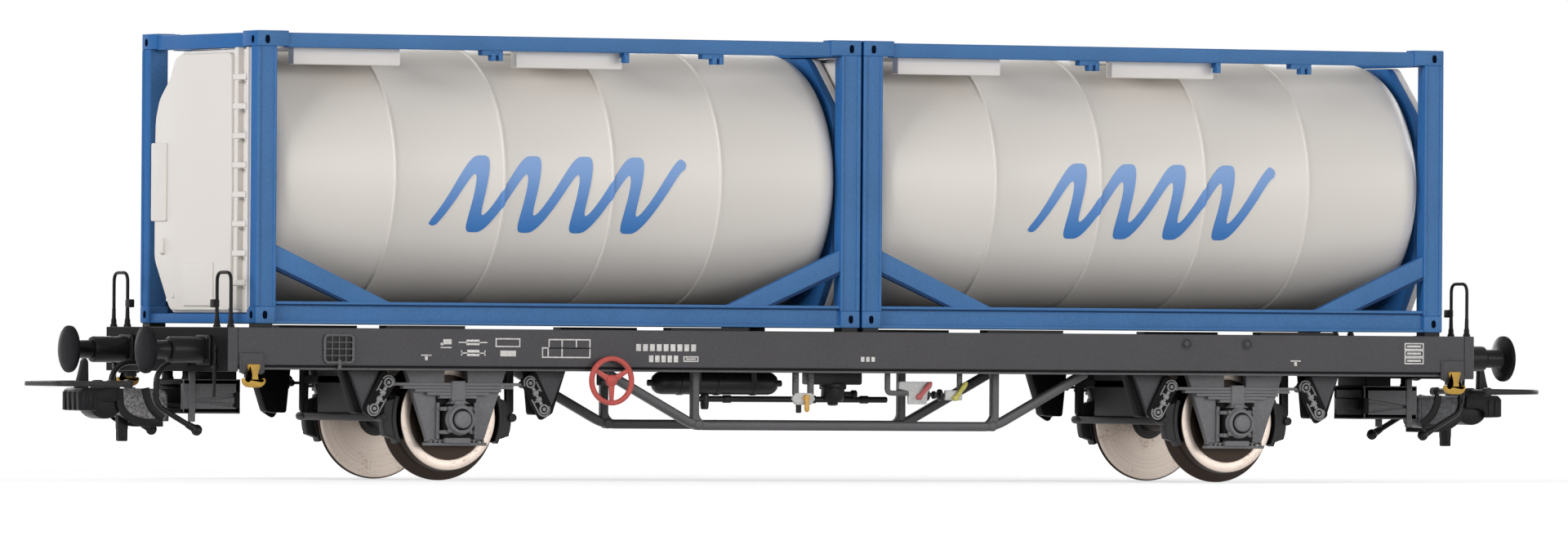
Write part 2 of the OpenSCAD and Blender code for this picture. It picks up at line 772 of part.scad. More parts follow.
// blue plates that carry the tank's ends
module end_plates(place) {
    color(blue) container(place) both_ends() slab_x(plate_x, panel_x, oct_outline);
}

// white end panels: a plain one at the right end, and one with doors and a strip for the ladder at the left
module end_panels(place) {
    strip = box_half_w - post_l;
    raised = [for (p = oct) if (p[0] > 0) [p[0] - 0.35, min(max(p[1], end_rail_h + 0.2), top_rail_z - 0.2)]];
    color(cream) container(place) {
        slab_x(panel_x, panel_x + panel_t, oct_outline);
        mirror([1, 0, 0]) {
            slab_x(panel_x, panel_x + panel_t * 0.6, concat(oct, [[-strip, end_rail_h], [-strip, top_rail_z]]));
            slab_x(panel_x + panel_t * 0.6, panel_x + panel_t,
                   concat(raised, [[-7.5, end_rail_h + 0.2], [-7.5, top_rail_z - 0.2]]));
            span([panel_x + panel_t, 7.6, 10.5], [panel_x + panel_t + 0.45, 11.1, 18.6]);
            span([panel_x + panel_t, -1.3, end_rail_h + 0.25], [panel_x + panel_t + 0.2, 5.7, 6.3]);
            span([panel_x + panel_t, 7.6, 7.1], [panel_x + panel_t + 0.35, 8.3, 8.9]);
        }
    }
}

// top corner casting: an L-shaped block with its three openings
module top_casting() {
    z = box_h - cast_top_h;
    difference() {
        union() {
            span([box_half_l - cast_top_l, box_half_w - cast_top_w, z], [box_half_l, box_half_w, box_h]);
            span([box_half_l - post_l, box_half_w - cast_top_l, z], [box_half_l, box_half_w, box_h]);
        }
        rod_z(box_half_l - casting_c, box_half_w - casting_c, box_h - spigot_h - 0.2, box_h + 1, socket_half);
        rod_y(box_half_l - casting_c, z + 0.8, box_half_w - 0.3, box_half_w + 1, 0.3);
        rod_x(box_half_w - casting_c, z + 0.8, box_half_l - 0.3, box_half_l + 1, 0.3);
    }
}

// bottom corner casting: a cube with a socket for the deck's spigot
module base_casting() {
    difference() {
        span([box_half_l - post_l, box_half_w - post_l, 0], [box_half_l, box_half_w, cast_low_h]);
        translate([box_half_l - casting_c, box_half_w - casting_c, 0])
            span([-socket_half, -socket_half, -1], [socket_half, socket_half, spigot_h + 0.2]);
        rod_y(box_half_l - 0.85, 0.95, box_half_w - 0.25, box_half_w + 1, 0.3);
        rod_x(box_half_w - 0.85, 0.95, box_half_l - 0.25, box_half_l + 1, 0.3);
    }
}

// side and end rails at the top, with short brackets under the side rails
module top_frame(place) {
    y1 = box_half_w - rail_in;
    z1 = top_rail_z + top_rail_h;
    color(blue) container(place) {
        both_ends() both_sides() top_casting();
        both_sides() {
            span([cast_top_l - box_half_l, y1 - rail_t, top_rail_z], [box_half_l - cast_top_l, y1, z1]);
            for (b = [[-9.1, -6.7], [7.3, 7.9], [16.4, 18.9]])
                span([b[0], y1 - rail_t, top_rail_z - 1], [b[1], y1 - 0.1, top_rail_z]);
        }
        both_ends() span([plate_x, cast_top_l - box_half_w, top_rail_z],
                         [box_half_l - rail_in, box_half_w - cast_top_l, z1]);
    }
}

// side and end rails at the bottom
module base_frame(place) {
    y1 = box_half_w - rail_in;
    color(blue) container(place) {
        both_ends() both_sides() base_casting();
        both_sides() {
            span([post_l - box_half_l, y1 - 0.9, 0], [box_half_l - post_l, y1 - 0.1, base_rail_h]);
            span([post_l - box_half_l, y1 - rail_t, 0], [box_half_l - post_l, y1, 0.3]);
            span([post_l - box_half_l, y1 - rail_t, base_rail_h - 0.3], [box_half_l - post_l, y1, base_rail_h]);
        }
        both_ends() span([plate_x, post_l - box_half_w, 0],
                         [box_half_l - rail_in, box_half_w - post_l, end_rail_h]);
    }
}

// corner posts with their flat diagonal braces
module corner_posts(place) {
    y1 = box_half_w - 0.1;
    x1 = box_half_l - 0.1;
    color(blue) container(place) both_ends() both_sides() {
        span([box_half_l - post_l, box_half_w - post_w, cast_low_h], [x1, y1, box_h - cast_top_h]);
        slab_y(y1 - 0.8, y1 - 0.1, [
            [box_half_l - post_l, 8.15], [box_half_l - post_l, 5.85], [24.2, base_rail_h], [19.5, base_rail_h]
        ]);
    }
}

// ladder at the left end, on the strip beside the panel
module ladder(place) {
    x0 = panel_x + panel_t * 0.6;
    y0 = post_l - box_half_w + 0.1;
    rungs = 8;
    pitch = (top_rail_z - end_rail_h) / (rungs + 0.5);
    color(cream) container(place) mirror([1, 0, 0]) {
        for (y = [y0, y0 + 3.3]) span([x0, y, end_rail_h], [x0 + 0.5, y + 0.4, top_rail_z]);
        for (z = [for (i = [1:rungs]) end_rail_h + i * pitch])
            span([x0 + 0.1, y0 + 0.4, z], [x0 + 0.4, y0 + 3.3, z + 0.35]);
    }
}

// white trays beside the tank's crown, and the manhole with its lid
module roof_trays(place) {
    y1 = box_half_w - rail_in - rail_t - 0.3;
    color(cream) container(place) difference() {
        union() {
            for (x = [[-30, -17.2], [-4.5, 8.4]]) both_sides()
                span([x[0], -y1, top_rail_z - 1.35], [x[1], -y1 + 6.5, top_rail_z + 0.2]);
            rod_z(0, 0, tank_z + tank_r - 1, box_h - 0.45, 2.6);
        }
        rod_x(0, tank_z, -box_half_l, box_half_l, tank_r + 0.16);
    }
}

module tank_left() tank(-1);
module tank_right() tank(1);
module end_panels_left() end_panels(-1);
module end_panels_right() end_panels(1);
module end_plates_left() end_plates(-1);
module end_plates_right() end_plates(1);
module top_frame_left() top_frame(-1);
module top_frame_right() top_frame(1);
module base_frame_left() base_frame(-1);
module base_frame_right() base_frame(1);
module corner_posts_left() corner_posts(-1);
module corner_posts_right() corner_posts(1);
module ladder_left() ladder(-1);
module ladder_right() ladder(1);
module roof_trays_left() roof_trays(-1);
module roof_trays_right() roof_trays(1);

// ---------------------------------------------------------------- sub-parts

sole_bars();
end_beams();
deck();
centre_sill();
cross_bearers();
container_pads();
buffers_left();
buffers_right();
grab_rails();
rope_hooks();
label_holders();
axle_guards_left();
axle_guards_right();
leaf_springs_left();
leaf_springs_right();
spring_hangers_left();
spring_hangers_right();
brakes_left();
brakes_right();
truss_near();
truss_far();
handwheels();
air_reservoir();
brake_valve();
changeover_plates();
red_levers();
yellow_levers();
coupling_box_left();
coupling_box_right();
air_hoses_left();
air_hoses_right();
axle_left();
wheel_left_near();
wheel_left_far();
axle_right();
wheel_right_near();
wheel_right_far();
coupling_left();
loop_left();
coupling_right();
loop_right();
tank_left();
end_panels_left();
end_plates_left();
top_frame_left();
base_frame_left();
corner_posts_left();
ladder_left();
roof_trays_left();
tank_right();
end_panels_right();
end_plates_right();
top_frame_right();
base_frame_right();
corner_posts_right();
ladder_right();
roof_trays_right();
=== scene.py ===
import json

import bmesh
import bpy
import numpy as np
from mathutils import Matrix, Vector


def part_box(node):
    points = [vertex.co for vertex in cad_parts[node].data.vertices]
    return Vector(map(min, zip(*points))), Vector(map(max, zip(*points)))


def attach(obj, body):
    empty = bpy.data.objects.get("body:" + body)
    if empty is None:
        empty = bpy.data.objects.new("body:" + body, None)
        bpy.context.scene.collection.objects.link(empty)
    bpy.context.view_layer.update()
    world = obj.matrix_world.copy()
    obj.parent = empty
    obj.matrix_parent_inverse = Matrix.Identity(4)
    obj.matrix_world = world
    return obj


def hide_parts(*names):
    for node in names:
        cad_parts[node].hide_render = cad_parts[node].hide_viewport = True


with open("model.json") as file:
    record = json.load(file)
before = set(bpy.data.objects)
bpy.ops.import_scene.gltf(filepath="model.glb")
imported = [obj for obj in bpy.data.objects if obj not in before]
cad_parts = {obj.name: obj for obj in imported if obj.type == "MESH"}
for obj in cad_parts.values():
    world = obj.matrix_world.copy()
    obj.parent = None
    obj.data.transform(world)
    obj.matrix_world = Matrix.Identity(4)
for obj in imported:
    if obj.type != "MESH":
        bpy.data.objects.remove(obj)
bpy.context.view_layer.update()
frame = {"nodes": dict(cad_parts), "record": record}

# ---------------------------------------------------------------- sole bars and end beams
# Two long bars with a lower flange, joined by a beam at each end: the wagon's main frame. They
# are moulded in dark grey plastic with a satin, finely grained face, and the mould leaves every
# edge a little rounded.

MM = 0.001
body_of = {n: b for b, names in frame["record"]["behaviour"]["bodies"].items() for n in names}
ENDS = {"left": -1, "right": 1}


class Signal:
    """One shader socket. Arithmetic on it adds Math nodes to the finish that it belongs to."""

    def __init__(self, finish, socket):
        self.finish, self.socket = finish, socket

    def math(self, operation, *values, clamp=False):
        return self.finish.node(
            "ShaderNodeMath", {"operation": operation, "use_clamp": clamp}, dict(enumerate(values))
        )

    def __add__(self, other):
        return self.math("ADD", self, other)

    def __sub__(self, other):
        return self.math("SUBTRACT", self, other)

    def __rsub__(self, other):
        return self.math("SUBTRACT", other, self)

    def __mul__(self, other):
        return self.math("MULTIPLY", self, other)

    def __truediv__(self, other):
        return self.math("DIVIDE", self, other)

    def clipped(self):
        return self.math("ADD", self, 0.0, clamp=True)

    __radd__ = __add__
    __rmul__ = __mul__


class Nodes:
    """A node tree that is put together node by node."""

    def __init__(self, owner):
        owner.use_nodes = True
        self.tree = owner.node_tree

    def feed(self, node, inputs):
        for key, value in inputs.items():
            if isinstance(value, Signal):
                self.tree.links.new(value.socket, node.inputs[key])
            else:
                node.inputs[key].default_value = value

    def node(self, kind, settings=None, inputs=None, output=0):
        """Adds a node of a type: first its settings, then its sockets' values or links."""
        made = self.tree.nodes.new(kind)
        for key, value in (settings or {}).items():
            setattr(made, key, value)
        self.feed(made, inputs or {})
        return Signal(self, made.outputs[output])

    def along(self, axis, vector):
        """One axis of a place or of a direction."""
        return self.node("ShaderNodeSeparateXYZ", inputs={0: vector}, output=axis)

    def rays(self):
        """Three values, each 1 for its own kind of ray: camera, glossy and transmission."""
        kinds = ("Camera", "Glossy", "Transmission")
        return [self.node("ShaderNodeLightPath", output="Is %s Ray" % kind) for kind in kinds]


class Finish(Nodes):
    """A material around its Principled shader."""

    def __init__(self, name, constants):
        self.material = bpy.data.materials.new(name)
        super().__init__(self.material)
        self.base = self.tree.nodes["Principled BSDF"]
        self.feed(self.base, constants)
        self.place = self.node("ShaderNodeTexCoord", output="Object")

    def facing(self, axis):
        """How far a face looks along an axis."""
        return self.along(axis, self.node("ShaderNodeNewGeometry", output="Normal"))

    def noise(self, size, detail=2.0, place=None):
        """Soft noise between 0 and 1 whose features are about `size` mm across."""
        inputs = {"Vector": place or self.place, "Scale": 1 / (size * MM), "Detail": detail}
        return self.node("ShaderNodeTexNoise", inputs=inputs)

    def mix(self, factor, first, second):
        """Colour between the first, at factor 0, and the second, at factor 1."""
        inputs = {0: factor, 6: first, 7: second}
        return self.node("ShaderNodeMix", {"data_type": "RGBA"}, inputs, output=2)

    def coat(self, colour, roughness, height, depth):
        """Colour, roughness and bump, where a height of 1 stands `depth` mm proud."""
        bump = self.node("ShaderNodeBump", inputs={"Height": height, "Distance": depth * MM})
        self.feed(self.base, {"Base Color": colour, "Roughness": roughness, "Normal": bump})
        return self.material


def shade(colour, factor=1.0):
    """Colour with its three channels multiplied, and an alpha of 1."""
    return (*[channel * factor for channel in colour[:3]], 1.0)


GRAIN = 0.14


def plastic(name, colour, roughness, depth=0.006, mottle=0.1, specular=0.3):
    """Moulded plastic: the tone wanders in wide soft patches and in fine specks, and a grain of
    GRAIN mm stands `depth` mm proud and roughens the gloss unevenly."""
    made = Finish(name, {"Specular IOR Level": specular})
    patches, specks = made.noise(7.0, 3.0), made.noise(GRAIN * 1.7, 3.0)
    tone = ((patches - 0.5) * 1.2 + (specks - 0.5) * 1.6 + 0.5).clipped()
    mottled = made.mix(tone, shade(colour, 1 - mottle), shade(colour, 1 + mottle))
    uneven = roughness + (patches - 0.5) * 0.12 + (specks - 0.5) * 0.1
    return made.coat(mottled, uneven, made.noise(GRAIN, 4.0), depth)


def softened(node, finish, width):
    """A copy of a CAD node, its doubled points merged and its flat faces joined, with every edge
    sharper than 35 degrees rounded by `width` mm."""
    source = frame["nodes"][node]
    mesh = source.data.copy()
    form = bmesh.new()
    form.from_mesh(mesh)
    bmesh.ops.remove_doubles(form, verts=form.verts, dist=0.002 * MM)
    bmesh.ops.dissolve_limit(form, angle_limit=np.radians(1.5), verts=form.verts, edges=form.edges)
    for face in form.faces:
        face.smooth = True
    form.to_mesh(mesh)
    form.free()
    copy = bpy.data.objects.new(node + "_soft", mesh)
    bpy.context.scene.collection.objects.link(copy)
    rounding = copy.modifiers.new("rounding", "BEVEL")
    rounding.width, rounding.segments = width * MM, 2
    rounding.limit_method, rounding.angle_limit = "ANGLE", np.radians(35)
    copy.modifiers.new("shading", "WEIGHTED_NORMAL").keep_sharp = True
    mesh.materials.clear()
    mesh.materials.append(finish)
    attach(copy, body_of[node])
    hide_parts(node)
    return copy


chassis_grey = plastic("chassis_grey", (0.052, 0.0495, 0.0535), 0.5, depth=0.012, mottle=0.22, specular=0.2)
painted_shade_black = plastic("painted_shade_black", (0.012, 0.0115, 0.0125), 0.45, mottle=0.2, specular=0.02)
for node in ("sole_bars", "end_beams"):
    bars = softened(node, chassis_grey, 0.1)
    bars.data.materials.append(painted_shade_black)
    # The end beams' faces that look along X are near black: painted shade.
    facing = np.empty(len(bars.data.polygons) * 3)
    bars.data.polygons.foreach_get("normal", facing)
    shaded_faces = (np.abs(facing[::3]) > 0.7).astype(np.int32)
    bars.data.polygons.foreach_set("material_index", shaded_faces * (node == "end_beams"))


def rectangle(left, low, right, high):
    """Corners of a rectangle, in turn."""
    return [(left, low), (right, low), (right, high), (left, high)]


def oblong(half_wide, half_tall):
    """Corners of a rectangle about the origin."""
    return rectangle(-half_wide, -half_tall, half_wide, half_tall)


def arc(centre, radius, start, stop, count):
    """Points of a circle's arc between two angles in degrees, or of an ellipse's, where `radius`
    is a pair: centre plus radius times the cosine and the sine."""
    turn = np.radians(np.linspace(start, stop, count))
    return np.stack([np.cos(turn), np.sin(turn)], axis=1) * radius + centre


def upright(outline, y):
    """Points of (x, z) stood up at a depth y."""
    return np.insert(np.asarray(outline, float), 1, y, axis=1)


def shell(points, closed=False):
    """Skin over a grid of points: each row is a closed loop, joined to the next one, and the first
    and last rows are closed with a face, or joined to each other where `closed`."""
    rows, count = points.shape[:2]
    index = np.arange(rows * count).reshape(rows, count)
    if closed:
        index = np.vstack([index, index[:1]])
    turned_on = np.roll(index, -1, axis=1)
    quads = np.stack([index[:-1], turned_on[:-1], turned_on[1:], index[1:]], axis=-1)
    faces = quads.reshape(-1, 4).tolist()
    if not closed:
        faces += [index[0][::-1].tolist(), index[-1].tolist()]
    return points.reshape(-1, 3), faces


def rounded(points, radius, steps=4, closed=True):
    """Corners drawn as curves: near corner p, between a and b at `radius` from it along its two
    sides, the point at t is (1-t)(1-t)a + 2t(1-t)p + ttb. An open path keeps its two ends."""
    points = np.asarray(points, float)
    before, after = np.roll(points, 1, axis=0) - points, np.roll(points, -1, axis=0) - points
    length_before = np.linalg.norm(before, axis=1, keepdims=True)
    length_after = np.linalg.norm(after, axis=1, keepdims=True)
    reach = np.reshape(np.broadcast_to(radius, len(points)), (-1, 1))
    a = points + before * np.minimum(reach / length_before, 0.48)
    b = points + after * np.minimum(reach / length_after, 0.48)
    t = np.linspace(0, 1, steps).reshape(1, -1, 1)
    curve = (1 - t) ** 2 * a[:, None] + 2 * t * (1 - t) * points[:, None] + t * t * b[:, None]
    if closed:
        return curve.reshape(-1, points.shape[1])
    return np.vstack([points[:1], curve[1:-1].reshape(-1, points.shape[1]), points[-1:]])


def inset(outline, distance):
    """Closed outline moved inwards: each point goes along the mean of its two sides' normals."""
    side = np.roll(outline, -1, axis=0) - outline
    side /= np.linalg.norm(side, axis=1, keepdims=True)
    normal = np.stack([-side[:, 1], side[:, 0]], axis=1)
    following = np.roll(outline, -1, axis=0)
    area = np.sum(outline[:, 0] * following[:, 1] - following[:, 0] * outline[:, 1])
    both = normal + np.roll(normal, 1, axis=0)
    both /= np.maximum(1 + np.sum(normal * np.roll(normal, 1, axis=0), axis=1, keepdims=True), 0.3)
    return outline + both * distance * np.sign(area)


def slab(outline, low, high, axis, edge=0.08):
    """Outline in the two other axes, carried from low to high along the axis. Its two rims are
    quarter rounds: at angle a the loop lies edge(1-sin a) inwards and edge(1-cos a) from the face."""
    outline = np.asarray(outline, float)
    turn = np.radians([0, 30, 60, 90])
    depths = np.concatenate([low + edge * (1 - np.cos(turn)), high - edge * (1 - np.cos(turn))[::-1]])
    insets = np.concatenate([edge * (1 - np.sin(turn)), edge * (1 - np.sin(turn))[::-1]])
    loops = np.stack([inset(outline, distance) for distance in insets])
    depth = np.broadcast_to(depths[:, None, None], (*loops.shape[:2], 1))
    return shell(np.concatenate([loops[..., :axis], depth, loops[..., axis:]], axis=-1))


def block(low, high, edge=0.08, axis=1):
    """Box between two corners with rounded edges."""
    a, b = [np.delete(np.asarray(corner, float), axis) for corner in (low, high)]
    return slab(rounded(rectangle(*a, *b), edge * 1.3), low[axis], high[axis], axis, edge)


def swept(path, profile, up=(0, 0, 1), closed=False, widths=1.0):
    """Profile of (across, up) carried along a path: at each point the across direction is the
    path's direction crossed with `up`, and the profile is enlarged by `widths`."""
    path, profile = np.asarray(path, float), np.asarray(profile, float)
    if closed:
        along = np.roll(path, -1, axis=0) - np.roll(path, 1, axis=0)
    else:
        along = np.gradient(path, axis=0)
    along /= np.linalg.norm(along, axis=1, keepdims=True)
    across = np.cross(along, up)
    across /= np.linalg.norm(across, axis=1, keepdims=True)
    above = np.cross(across, along)
    widths = np.broadcast_to(widths, len(path))[:, None, None]
    flat = profile[None, :, :1] * across[:, None] + profile[None, :, 1:] * above[:, None]
    return shell(path[:, None] + flat * widths, closed)


def circle(radius, sides=16):
    """Points of a circle: radius times the cosine and the sine of equal steps."""
    turn = np.linspace(0, 2 * np.pi, sides, endpoint=False)
    return radius * np.stack([np.cos(turn), np.sin(turn)], axis=1)


def turned(profile, centre, axis, sides=48):
    """Profile of (distance along the axis, radius) turned about the axis through the centre."""
    profile = np.asarray(profile, float)
    ring = circle(1.0, sides)
    flat = profile[:, None, 1:] * ring[None]
    depth = np.broadcast_to(profile[:, None, :1], (len(profile), sides, 1))
    return shell(np.concatenate([flat[..., :axis], depth, flat[..., axis:]], axis=-1) + centre)


def flipped(parts, *axes):
    """The same shells mirrored in the wagon's middle planes across the named axes."""
    sign = np.ones(3)
    sign[list(axes)] = -1
    return [(points * sign, faces) for points, faces in parts]


def moved(parts, by):
    """The same shells moved."""
    return [(points + np.asarray(by, float), faces) for points, faces in parts]


def both(parts, *axes):
    """The shells and their mirror images across each axis in turn."""
    for axis in axes:
        parts = parts + flipped(parts, axis)
    return parts


def piece(name, parts, finish, body, slot, replaces=()):
    """One object of closed shells given in mm: doubled points merged, faces turned outwards, and
    smooth except along edges sharper than 38 degrees."""
    start = np.cumsum([0] + [len(points) for points, _ in parts])
    faces = [[i + s for i in face] for s, (_, some) in zip(start, parts) for face in some]
    mesh = bpy.data.meshes.new(name)
    mesh.from_pydata(np.vstack([points for points, _ in parts]) * MM, [], faces)
    form = bmesh.new()
    form.from_mesh(mesh)
    bmesh.ops.remove_doubles(form, verts=form.verts, dist=0.0005 * MM)
    bmesh.ops.recalc_face_normals(form, faces=form.faces)
    form.to_mesh(mesh)
    form.free()
    mesh.polygons.foreach_set("use_smooth", np.ones(len(mesh.polygons), bool))
    mesh.set_sharp_from_angle(angle=np.radians(38))
    mesh.materials.append(finish)
    made = bpy.data.objects.new(name, mesh)
    bpy.context.scene.collection.objects.link(made)
    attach(made, body)
    if replaces:
        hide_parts(*replaces)


def at_ends(name, parts, finish, slot, gone="", body="wagon", middle=None):
    """One object at each end, from the right end's shells, which are mirrored for the left end.
    Where a distance `middle` is given, shells about x = 0 are moved that far to each side instead.
    The three names take the end's name."""
    for end, sign in ENDS.items():
        if middle:
            placed = moved(parts, (sign * middle, 0, 0))
        else:
            placed = parts if sign > 0 else flipped(parts, 0)
        replaced = [gone.format(end)] if gone else []
        piece(name.format(end), placed, finish, body.format(end), slot, replaced)


def limits(node):
    """Lowest and highest corner of a CAD node, in mm."""
    return [np.array(corner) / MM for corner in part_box(node)]


beam_low, beam_high = limits("end_beams")
face_y, beam_x, deck_z = beam_low[1], beam_high[0], beam_high[2]
sole_z = deck_z - 4.25

# ---------------------------------------------------------------- fixings on the sole bars
# Screws that hold the deck, each a domed head in a raised ring, the sole bars' lower lip in a paler
# grey as painted highlight, and a near-black strip over it as painted shadow. All are moulded on.

ring = [(0.05, 0.62), (-0.1, 0.6), (-0.14, 0.54), (-0.12, 0.46), (-0.02, 0.4)]
head = [(0.05, 0.36), (-0.16, 0.36), (-0.22, 0.3), (-0.24, 0.1)]
screws = []
for x in (38.4, 45.7):
    place = (x, face_y, deck_z - 1)
    screws += [turned(ring, place, 1, 24), turned(head, place, 1, 20)]
piece("sole_bar_screws", both(screws, 1), chassis_grey, "wagon", "chassis_grey")
flange_grey = plastic("flange_grey", (0.095, 0.092, 0.095), 0.48, mottle=0.3, specular=0.2)
# The lip's paler grey is a painted highlight; the strip over it is painted shadow.
lip = [block((-72.2, -14.54, sole_z - 0.06), (72.2, -13.2, sole_z + 0.2), 0.02)]
shade_lines = [block((-72.2, -14.64, sole_z + 0.16), (72.2, -14.3, sole_z + 0.42), 0.02)]
piece("sole_bar_lips_painted_highlight", both(lip, 1), flange_grey, "wagon", "chassis_grey")
piece("sole_bar_shadow_lines", both(shade_lines, 1), painted_shade_black, "wagon", "chassis_black")

# ---------------------------------------------------------------- printed panels
# Data panels printed in thin white on the sole bars. The lines of figures are left blank: only
# their frames, rules and plain bars are there, each a film of paint 0.02 mm thick.

PAINT, RULE = 0.02, 0.13


def bar(x0, x1, z0, z1):
    """Rectangle of paint on the near sole bar's face."""
    return slab(rectangle(x0, z0, x1, z1), face_y - PAINT, face_y + 0.05, 1, 0.004)


def outlined(x0, x1, z0, z1, columns=()):
    """Frame of four bars, with upright rules at the named places."""
    uprights = [x0, *columns, x1 - RULE]
    rules = [bar(x, x + RULE, z0 + RULE, z1 - RULE) for x in uprights]
    return [bar(x0, x1, z0, z0 + RULE), bar(x0, x1, z1 - RULE, z1), *rules]


paint_white = plastic("printed_white", (0.62, 0.6, 0.58), 0.6, mottle=0.25, depth=0.001)
panels = outlined(-42.95, -40.1, 13.8, 14.72) + [bar(-42.4, -40.6, 12.85, 13.45)]
panels += [bar(-47.2, -43.9, 14.2, 14.32), bar(-46.3, -44.8, 13.98, 14.55)]
panels += [bar(-46.9, -44.1, 13.1, 13.22), bar(-46.2, -44.8, 12.85, 13.5)]
panels += [bar(-46.9, -46.78, 12.9, 13.45), bar(-44.22, -44.1, 12.9, 13.45)]
panels += [bar(-48.95, -48.0, 14.05, 14.58), bar(-49.25, -48.9, 13.95, 14.2)]
panels.append(bar(-49.25, -48.0, 13.66, 13.78))
panels += outlined(-36.85, -32.0, 13.68, 14.68, (-35.35, -33.7))
panels += outlined(-37.6, -32.0, 12.72, 13.81, (-36.95, -35.35))
panels += [bar(x, x + 0.55, 13.5, 14.22) for x in np.arange(-26.7, -19.6, 0.8)]
panels += [bar(x, x + 0.5, 12.35, 13.05) for x in np.arange(-25.2, -22.0, 0.72)]
panels += outlined(-21.2, -19.45, 12.4, 12.99) + [bar(-20.9, -19.75, 12.62, 12.78)]
panels += [bar(x, x + 0.4, 12.55, 13.05) for x in np.arange(-0.4, 1.2, 0.62)]
for x in (-50.88, 51.62):
    panels += [bar(x - 0.6, x + 0.6, 12.86, 12.98), bar(x - 0.16, x + 0.16, 12.4, 12.8)]
for z in (12.66, 13.42, 14.18):
    panels += outlined(64.9, 67.25, z, z + 0.74) + [bar(65.2, 66.9, z + 0.26, z + 0.48)]
turned_round = [(points * (-1, -1, 1), faces) for points, faces in panels]
piece("printed_panels", panels + turned_round, paint_white, "wagon", "chassis_grey")

# ---------------------------------------------------------------- deck, sill, bearers and pads
# The black plastic floor casting: deck plate, centre sill and cross bearers in one satin black
# moulding, with the pads and spigots that the containers stand on. The upper faces hold a
# little pale dust.


DUST = (0.16, 0.15, 0.14, 1.0)


def dusty(name, colour, roughness):
    """Black moulded plastic with pale dust where a face looks up: upwards part of the normal,
    times noise."""
    made = Finish(name, {"Specular IOR Level": 0.12})
    fine, wide = made.noise(0.3, 4.0), made.noise(5.0, 3.0)
    settled = ((made.facing("Z") - 0.35).clipped() * (fine * 0.7 + wide * 0.9 - 0.25) * 0.48).clipped()
    speck = made.mix(fine, shade(colour, 0.82), shade(colour, 1.25))
    dulled = made.mix(settled, speck, DUST)
    return made.coat(dulled, roughness + settled * 0.5, made.noise(0.13, 4.0), 0.008)


chassis_black = dusty("chassis_black", (0.014, 0.0135, 0.0145), 0.42)
for node in ("deck", "centre_sill", "cross_bearers", "container_pads"):
    casting = frame["nodes"][node]
    casting.data.materials.clear()
    casting.data.materials.append(chassis_black)

# ---------------------------------------------------------------- label holders
# A wire grid on the near sole bar's left end, and another diagonally opposite, that holds a
# paper label: a bent wire frame and thin crossing wires, moulded in front of a dark plate.

label_low, label_high = limits("label_holders")
label_x = label_low[0] + 1.75
label_z = (label_low[2] + label_high[2]) / 2 - 0.22
corners = np.array(oblong(1.62, 1.4)) + (label_x, label_z)
wires = [[(label_x + step, label_z + k) for k in (-1.4, 0, 1.4)] for step in (-0.78, 0, 0.78)]
wires += [[(label_x + i, label_z + step) for i in (-1.6, 0, 1.6)] for step in (-0.68, 0, 0.68)]
frame_wire = rounded(upright(corners, face_y - 0.16), 0.45)
grid = [swept(frame_wire, circle(0.14, 10), (0, 1, 0), closed=True)]
grid += [swept(upright(wire, face_y - 0.14), circle(0.07, 8), (0, 1, 0)) for wire in wires]


def on_face(x0, x1, z0, z1, out, into, edge):
    """Block on the near sole bar's face, from `out` in front of it to `into` behind it, given
    about the label holder's middle."""
    low = (label_x + x0, face_y - out, label_z + z0)
    return block(low, (label_x + x1, face_y + into, label_z + z1), edge)


grid += [on_face(i - 0.2, i + 0.2, 1.25, 1.55, 0.24, 0.02, 0.08) for i in (-1.2, 1.2)]
grid.append(on_face(-0.1, 0.2, -2.1, -1.1, 0.34, 0.02, 0.06))
back = [on_face(-1.6, 1.6, -1.4, 1.4, 0.06, 0.04, 0.03)]
piece("label_grids", grid + flipped(grid, 0, 1), flange_grey, "wagon", "chassis_black", ["label_holders"])
piece("label_backs", back + flipped(back, 0, 1), chassis_black, "wagon", "chassis_black")

# ---------------------------------------------------------------- rope hooks
# Double hooks for the rope, one on each corner, moulded in ochre yellow and plugged into a small
# grey plate on the sole bar.

hook_yellow = plastic("hook_yellow", (0.5, 0.3, 0.055), 0.45, mottle=0.16, specular=0.15)
hook_low, hook_high = limits("rope_hooks")
hook_x, hook_top = hook_high[0] - 1.5, hook_low[2] + 2.62
half = [
    (0.74, 0), (0.74, -0.3), (0.52, -0.85), (0.45, -1.3), (0.5, -1.72), (0.78, -1.98), (1.06, -1.9),
    (1.16, -1.62), (1.4, -1.62), (1.46, -1.98), (1.28, -2.38), (0.85, -2.66), (0, -2.72),
]
outline = np.array(half + [(-x, z) for x, z in reversed(half[:-1])]) * (0.87, 0.88) + (hook_x, hook_top - 0.2)
hooks = [slab(rounded(outline, 0.14, 3), hook_low[1] + 0.05, hook_low[1] + 0.7, 1, 0.12)]
hook_plates = []
for wide, low, high, out, into, edge in ((1.4, -1.1, 1.0, 0.22, 0.1, 0.1), (0.6, -1.6, -0.9, 0.3, 0.6, 0.08)):
    corner = (hook_x - wide, face_y - out, hook_top + low)
    hook_plates.append(block(corner, (hook_x + wide, face_y + into, hook_top + high), edge))
piece("rope_hooks_bent", both(hooks, 0, 1), hook_yellow, "wagon", "yellow", ["rope_hooks"])
piece("rope_hook_plates", both(hook_plates, 0, 1), chassis_grey, "wagon", "chassis_grey")

# ---------------------------------------------------------------- shunters' grab rails
# A bent wire hoop beside each buffer, standing in two collars on the end beam, with a small lamp
# iron on its inner leg. Black plastic with a soft sheen.

